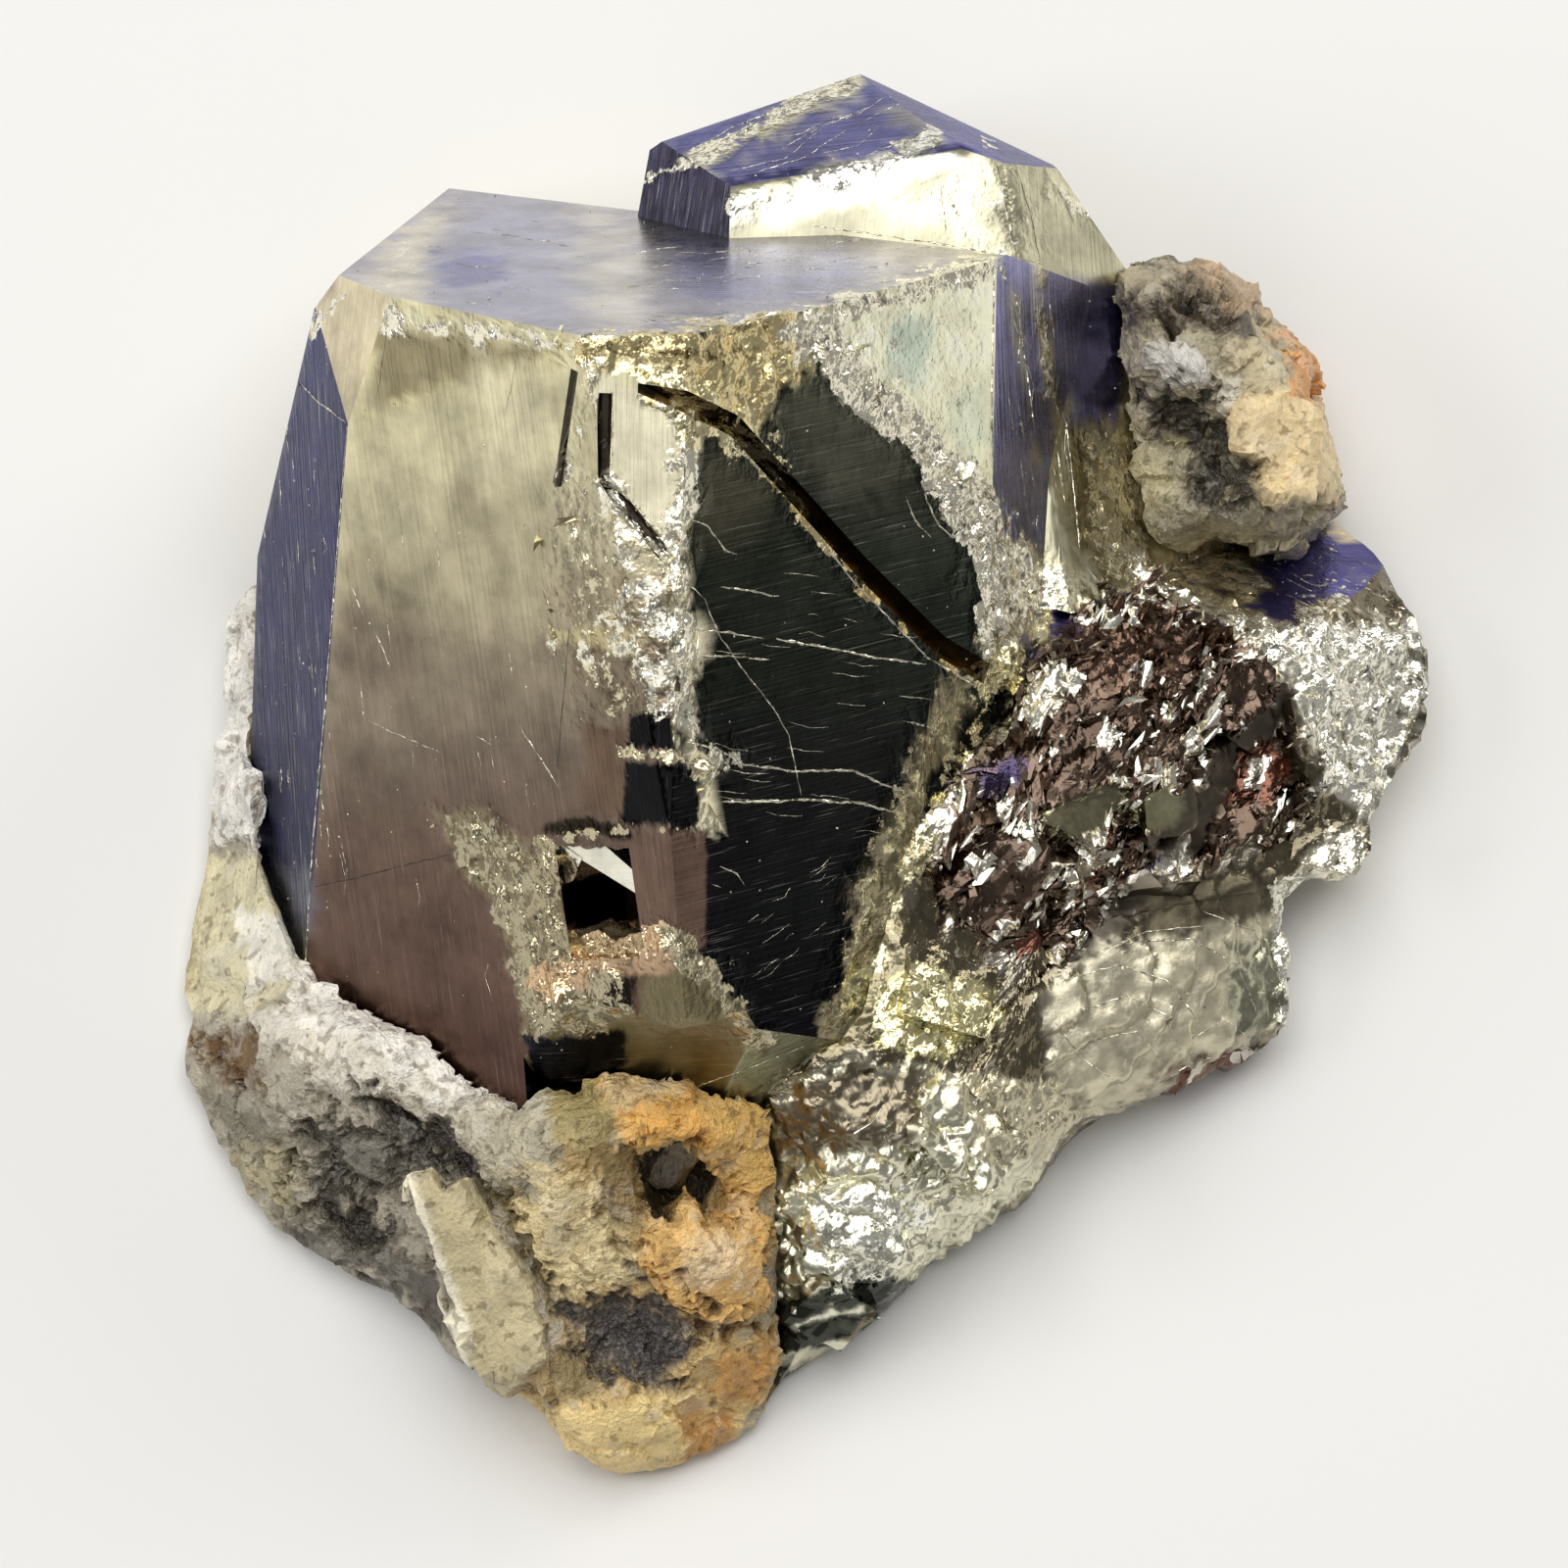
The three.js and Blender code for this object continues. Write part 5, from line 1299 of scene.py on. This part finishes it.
def lineMaterial(name, look):
    material, w = newMaterial(name)
    place = w.make("ShaderNodeTexCoord", {}, {}, "Object")
    height, odds = w.grains(place, 0.0002)[:2]
    base = w.blend(1.0, (*look["tint"], 1), grey(w, 0.35 + odds * 0.9), "MULTIPLY")
    bump = w.make("ShaderNodeBump", {}, {"Strength": 0.8, "Distance": 0.0002, "Height": height})
    finishWith(w, w.make("ShaderNodeBsdfPrincipled", {}, {"Base Color": base, "Metallic": look["metal"],
                                                          "Roughness": look["rough"], "Normal": bump}))
    return material


# Splinters and grains that stay grown on: small broken solids scattered over a surface

def shard(name, seed, reach):
    rng = np.random.default_rng(seed)
    bm = bmesh.new()
    for corner in rng.normal(size=(9, 3)):
        bm.verts.new(corner / np.linalg.norm(corner) * np.array(reach) / 2)
    bmesh.ops.convex_hull(bm, input=bm.verts)
    mesh = bpy.data.meshes.new(name)
    bm.to_mesh(mesh)
    bm.free()
    return bpy.data.objects.new(name, mesh)


def shardSet(name, seed, reach):
    kinds = bpy.data.collections.new(name)
    for count in range(6):
        kinds.objects.link(shard("%s%d" % (name, count), seed + count, reach))
    return kinds


def scatterTree():
    tree = bpy.data.node_groups.new("scatteredGrains", "GeometryNodeTree")
    for label, kind, way in (("Geometry", "NodeSocketGeometry", "INPUT"), ("Shards", "NodeSocketCollection", "INPUT"),
                             ("Where", "NodeSocketString", "INPUT"), ("Per square metre", "NodeSocketFloat", "INPUT"),
                             ("Smallest", "NodeSocketFloat", "INPUT"), ("Largest", "NodeSocketFloat", "INPUT"),
                             ("Seed", "NodeSocketInt", "INPUT"), ("Material", "NodeSocketMaterial", "INPUT"),
                             ("Least turn", "NodeSocketVector", "INPUT"), ("Most turn", "NodeSocketVector", "INPUT"),
                             ("Geometry", "NodeSocketGeometry", "OUTPUT")):
        tree.interface.new_socket(label, in_out=way, socket_type=kind)
    w = Wire(tree)
    source = w.make("NodeGroupInput", {}, {})
    given = {socket.name: Wire(tree, socket) for socket in source.socket.node.outputs}
    weight = w.make("GeometryNodeInputNamedAttribute", {"data_type": "FLOAT"}, {"Name": given["Where"]})
    spots = w.make("GeometryNodeDistributePointsOnFaces", {"distribute_method": "RANDOM"},
                   {"Mesh": source, "Density": weight * given["Per square metre"], "Seed": given["Seed"]})
    pick = w.make("FunctionNodeRandomValue", {"data_type": "FLOAT"}, {2: 0.0, 3: 1.0, "Seed": given["Seed"] + 7}, 1)
    spots = w.make("GeometryNodeStoreNamedAttribute", {"data_type": "FLOAT", "domain": "POINT"},
                   {"Geometry": spots, "Name": "pick", "Value": pick})
    parts = w.make("GeometryNodeCollectionInfo", {}, {"Collection": given["Shards"], "Separate Children": True,
                                                      "Reset Children": True})
    turn = w.make("FunctionNodeRandomValue", {"data_type": "FLOAT_VECTOR"},
                  {0: given["Least turn"], 1: given["Most turn"], "Seed": given["Seed"]})
    chanceOfSize = w.make("FunctionNodeRandomValue", {"data_type": "FLOAT"}, {2: 0.0, 3: 1.0, "Seed": given["Seed"] + 3}, 1)
    size = given["Smallest"] + chanceOfSize * chanceOfSize * (given["Largest"] - given["Smallest"])
    copies = w.make("GeometryNodeInstanceOnPoints", {}, {"Points": spots, "Instance": parts, "Pick Instance": True,
                                                         "Rotation": turn, "Scale": size})
    real = w.make("GeometryNodeRealizeInstances", {}, {0: copies})
    dressed = w.make("GeometryNodeSetMaterial", {}, {"Geometry": real, "Material": given["Material"]})
    w.make("NodeGroupOutput", {}, {0: dressed})
    return tree


anyTurn = ((-3.1, -3.1, -3.1), (3.1, 3.1, 3.1))
fanTurn = ((-3.1, -0.35, 0.3), (3.1, 0.35, 1.6))
# many: grains on a square metre where the surface is all broken, sizes in m, turns in radians
bladeLook = {"where": "shards", "many": 1.5e6, "smallest": 0.0005, "largest": 0.0022, "seed": 5, "turns": fanTurn}
grainLook = {"where": "shards", "many": 1.6e6, "smallest": 0.0002, "largest": 0.0006, "seed": 6, "turns": anyTurn}
speckLook = {"where": "dust", "many": 2.2e5, "smallest": 0.00003, "largest": 0.00016, "seed": 8, "turns": anyTurn,
             "tint": (0.75, 0.72, 0.6), "rough": 0.4, "metal": 0.0}
quartzGrainLook = {"where": "shards", "many": 2.5e6, "smallest": 0.0002, "largest": 0.0009, "seed": 9, "turns": anyTurn}
capGrainLook = {"where": "shards", "many": 6.0e6, "smallest": 0.00015, "largest": 0.0006, "seed": 10, "turns": anyTurn}


def scatter(name, surface, tree, kinds, look, material):
    holder = bpy.data.objects.new(name, surface.data.copy())
    bpy.context.collection.objects.link(holder)
    useTree(holder, tree, Shards=kinds, Where=look["where"], Seed=look["seed"], Smallest=look["smallest"],
            Largest=look["largest"], Material=material,
            **{"Per square metre": look["many"], "Least turn": look["turns"][0], "Most turn": look["turns"][1]})
    made = plainMesh(holder)
    print(name, len(made.data.polygons))
    return made


# Build

pyriteSkin = pyriteMaterial()
pyrite = makePyrite()
pyrite.data.materials.append(pyriteSkin)
print("pyrite done")

quartzSkin = rockMaterial("quartzRock", quartzLook["bump"])
quartz = makeRock("quartz_matrix", "quartzRock", quartzLook, matrixPatches)
quartz.data.materials.append(quartzSkin)
capSkin = rockMaterial("feldsparRock", capLook["bump"])
cap = makeRock("feldspar_cap", "feldsparCap", capLook, capPatches)
cap.data.materials.append(capSkin)
print("rock done")

skin = BVHTree.FromObject(pyrite, bpy.context.evaluated_depsgraph_get())
arcs = [(None, growthAndHighlightLook["arcWidth"], path) for path in shellArcs]
ridges = drawLines("growthLines", growthLines + strayLines() + arcs, growthAndHighlightLook, lineMaterial("brightGrowth", growthAndHighlightLook),
                   skin)
gaps = drawLines("cracks", cracks, crackLook, lineMaterial("darkCrack", crackLook), skin)
notch = makeSteps()
notch.data.materials.append(pyriteSkin)
print("lines done")

scatterGrains = scatterTree()
blades = shardSet("blade", 300, (1.0, 0.36, 0.16))
blocks = shardSet("block", 400, (1.0, 0.85, 0.7))
splinterSkin = splinterMaterial()
bladePiece = scatter("pyriteBlades", pyrite, scatterGrains, blades, bladeLook, splinterSkin)
grainPiece = scatter("pyriteGrains", pyrite, scatterGrains, blocks, grainLook, splinterSkin)
dustPiece = scatter("brightSpecks", pyrite, scatterGrains, blocks, speckLook, lineMaterial("paleSpeck", speckLook))
quartzGrains = scatter("quartzGrains", quartz, scatterGrains, blocks, quartzGrainLook, quartzSkin)
capGrains = scatter("feldsparGrains", cap, scatterGrains, blocks, capGrainLook, capSkin)

for piece, node, slot in ((pyrite, "pyrite", "pyrite"), (quartz, "quartz_matrix", "quartz"),
                          (cap, "feldspar_cap", "feldspar")):
    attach(piece, "root")
    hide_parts(node)
for piece, slot in ((ridges, "pyrite"), (notch, "pyrite"), (gaps, "pyrite"), (bladePiece, "pyrite"),
                    (grainPiece, "pyrite"), (dustPiece, "pyrite"), (quartzGrains, "quartz"), (capGrains, "feldspar")):
    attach(piece, "root")

# Floor, camera and light

studio = {"floor": (0.78, 0.77, 0.75), "world": 0.22, "top": 2.7, "front": 0.26, "left": 1.0, "right": 0.9}


def aim(thing, target):
    toward = np.array(target) - np.array(thing.location)
    flat = math.hypot(toward[0], toward[1])
    thing.rotation_euler = (math.atan2(flat, -toward[2]), 0, math.atan2(-toward[0], toward[1]))


def softbox(name, place, size, power, tint=(1, 1, 1)):
    light = bpy.data.lights.new(name, "AREA")
    light.shape, light.size, light.size_y = "RECTANGLE", size[0], size[1]
    light.energy, light.color = power, tint
    lamp = bpy.data.objects.new(name, light)
    bpy.context.collection.objects.link(lamp)
    lamp.location = place
    aim(lamp, (0, 0, 0.012))


def floorMaterial():
    material, w = newMaterial("paleFloor")
    finishWith(w, w.make("ShaderNodeBsdfPrincipled", {}, {"Base Color": (*studio["floor"], 1), "Roughness": 0.7}))
    return material


floorMesh = bpy.data.meshes.new("floor")
floorMesh.from_pydata([(-3, -3, -0.00005), (3, -3, -0.00005), (3, 3, -0.00005), (-3, 3, -0.00005)], [], [(0, 1, 2, 3)])
floorMesh.materials.append(floorMaterial())
floor = bpy.data.objects.new("floor", floorMesh)
bpy.context.collection.objects.link(floor)

world = bpy.data.worlds.new("studio")
world.use_nodes = True
world.node_tree.nodes["Background"].inputs[0].default_value = (1, 0.98, 0.95, 1)
world.node_tree.nodes["Background"].inputs[1].default_value = studio["world"]
bpy.context.scene.world = world
softbox("topLight", (0.0, 0.12, 0.58), (0.55, 0.55), studio["top"])
softbox("frontLight", (0.0, -0.36, 0.55), (0.3, 0.3), studio["front"])
softbox("leftLight", (-0.45, -0.05, 0.35), (0.3, 0.25), studio["left"])
softbox("rightLight", (0.4, 0.35, 0.35), (0.25, 0.25), studio["right"], (1, 0.97, 0.92))

camera = bpy.data.objects.new("camera", bpy.data.cameras.new("camera"))
bpy.context.collection.objects.link(camera)
camera.data.sensor_width = 36
camera.data.lens = camera.data.sensor_width * pose["viewer"] / (2 * pose["half"] / pose["scale"])
camera.data.clip_start = 0.01
camera.location = laidDown([(0, 0, pose["viewer"])])[0]
aim(camera, laidDown([(0, 0, 0)])[0])
bpy.context.scene.camera = camera
bpy.context.scene.view_settings.view_transform = "Standard"
print("stage done")
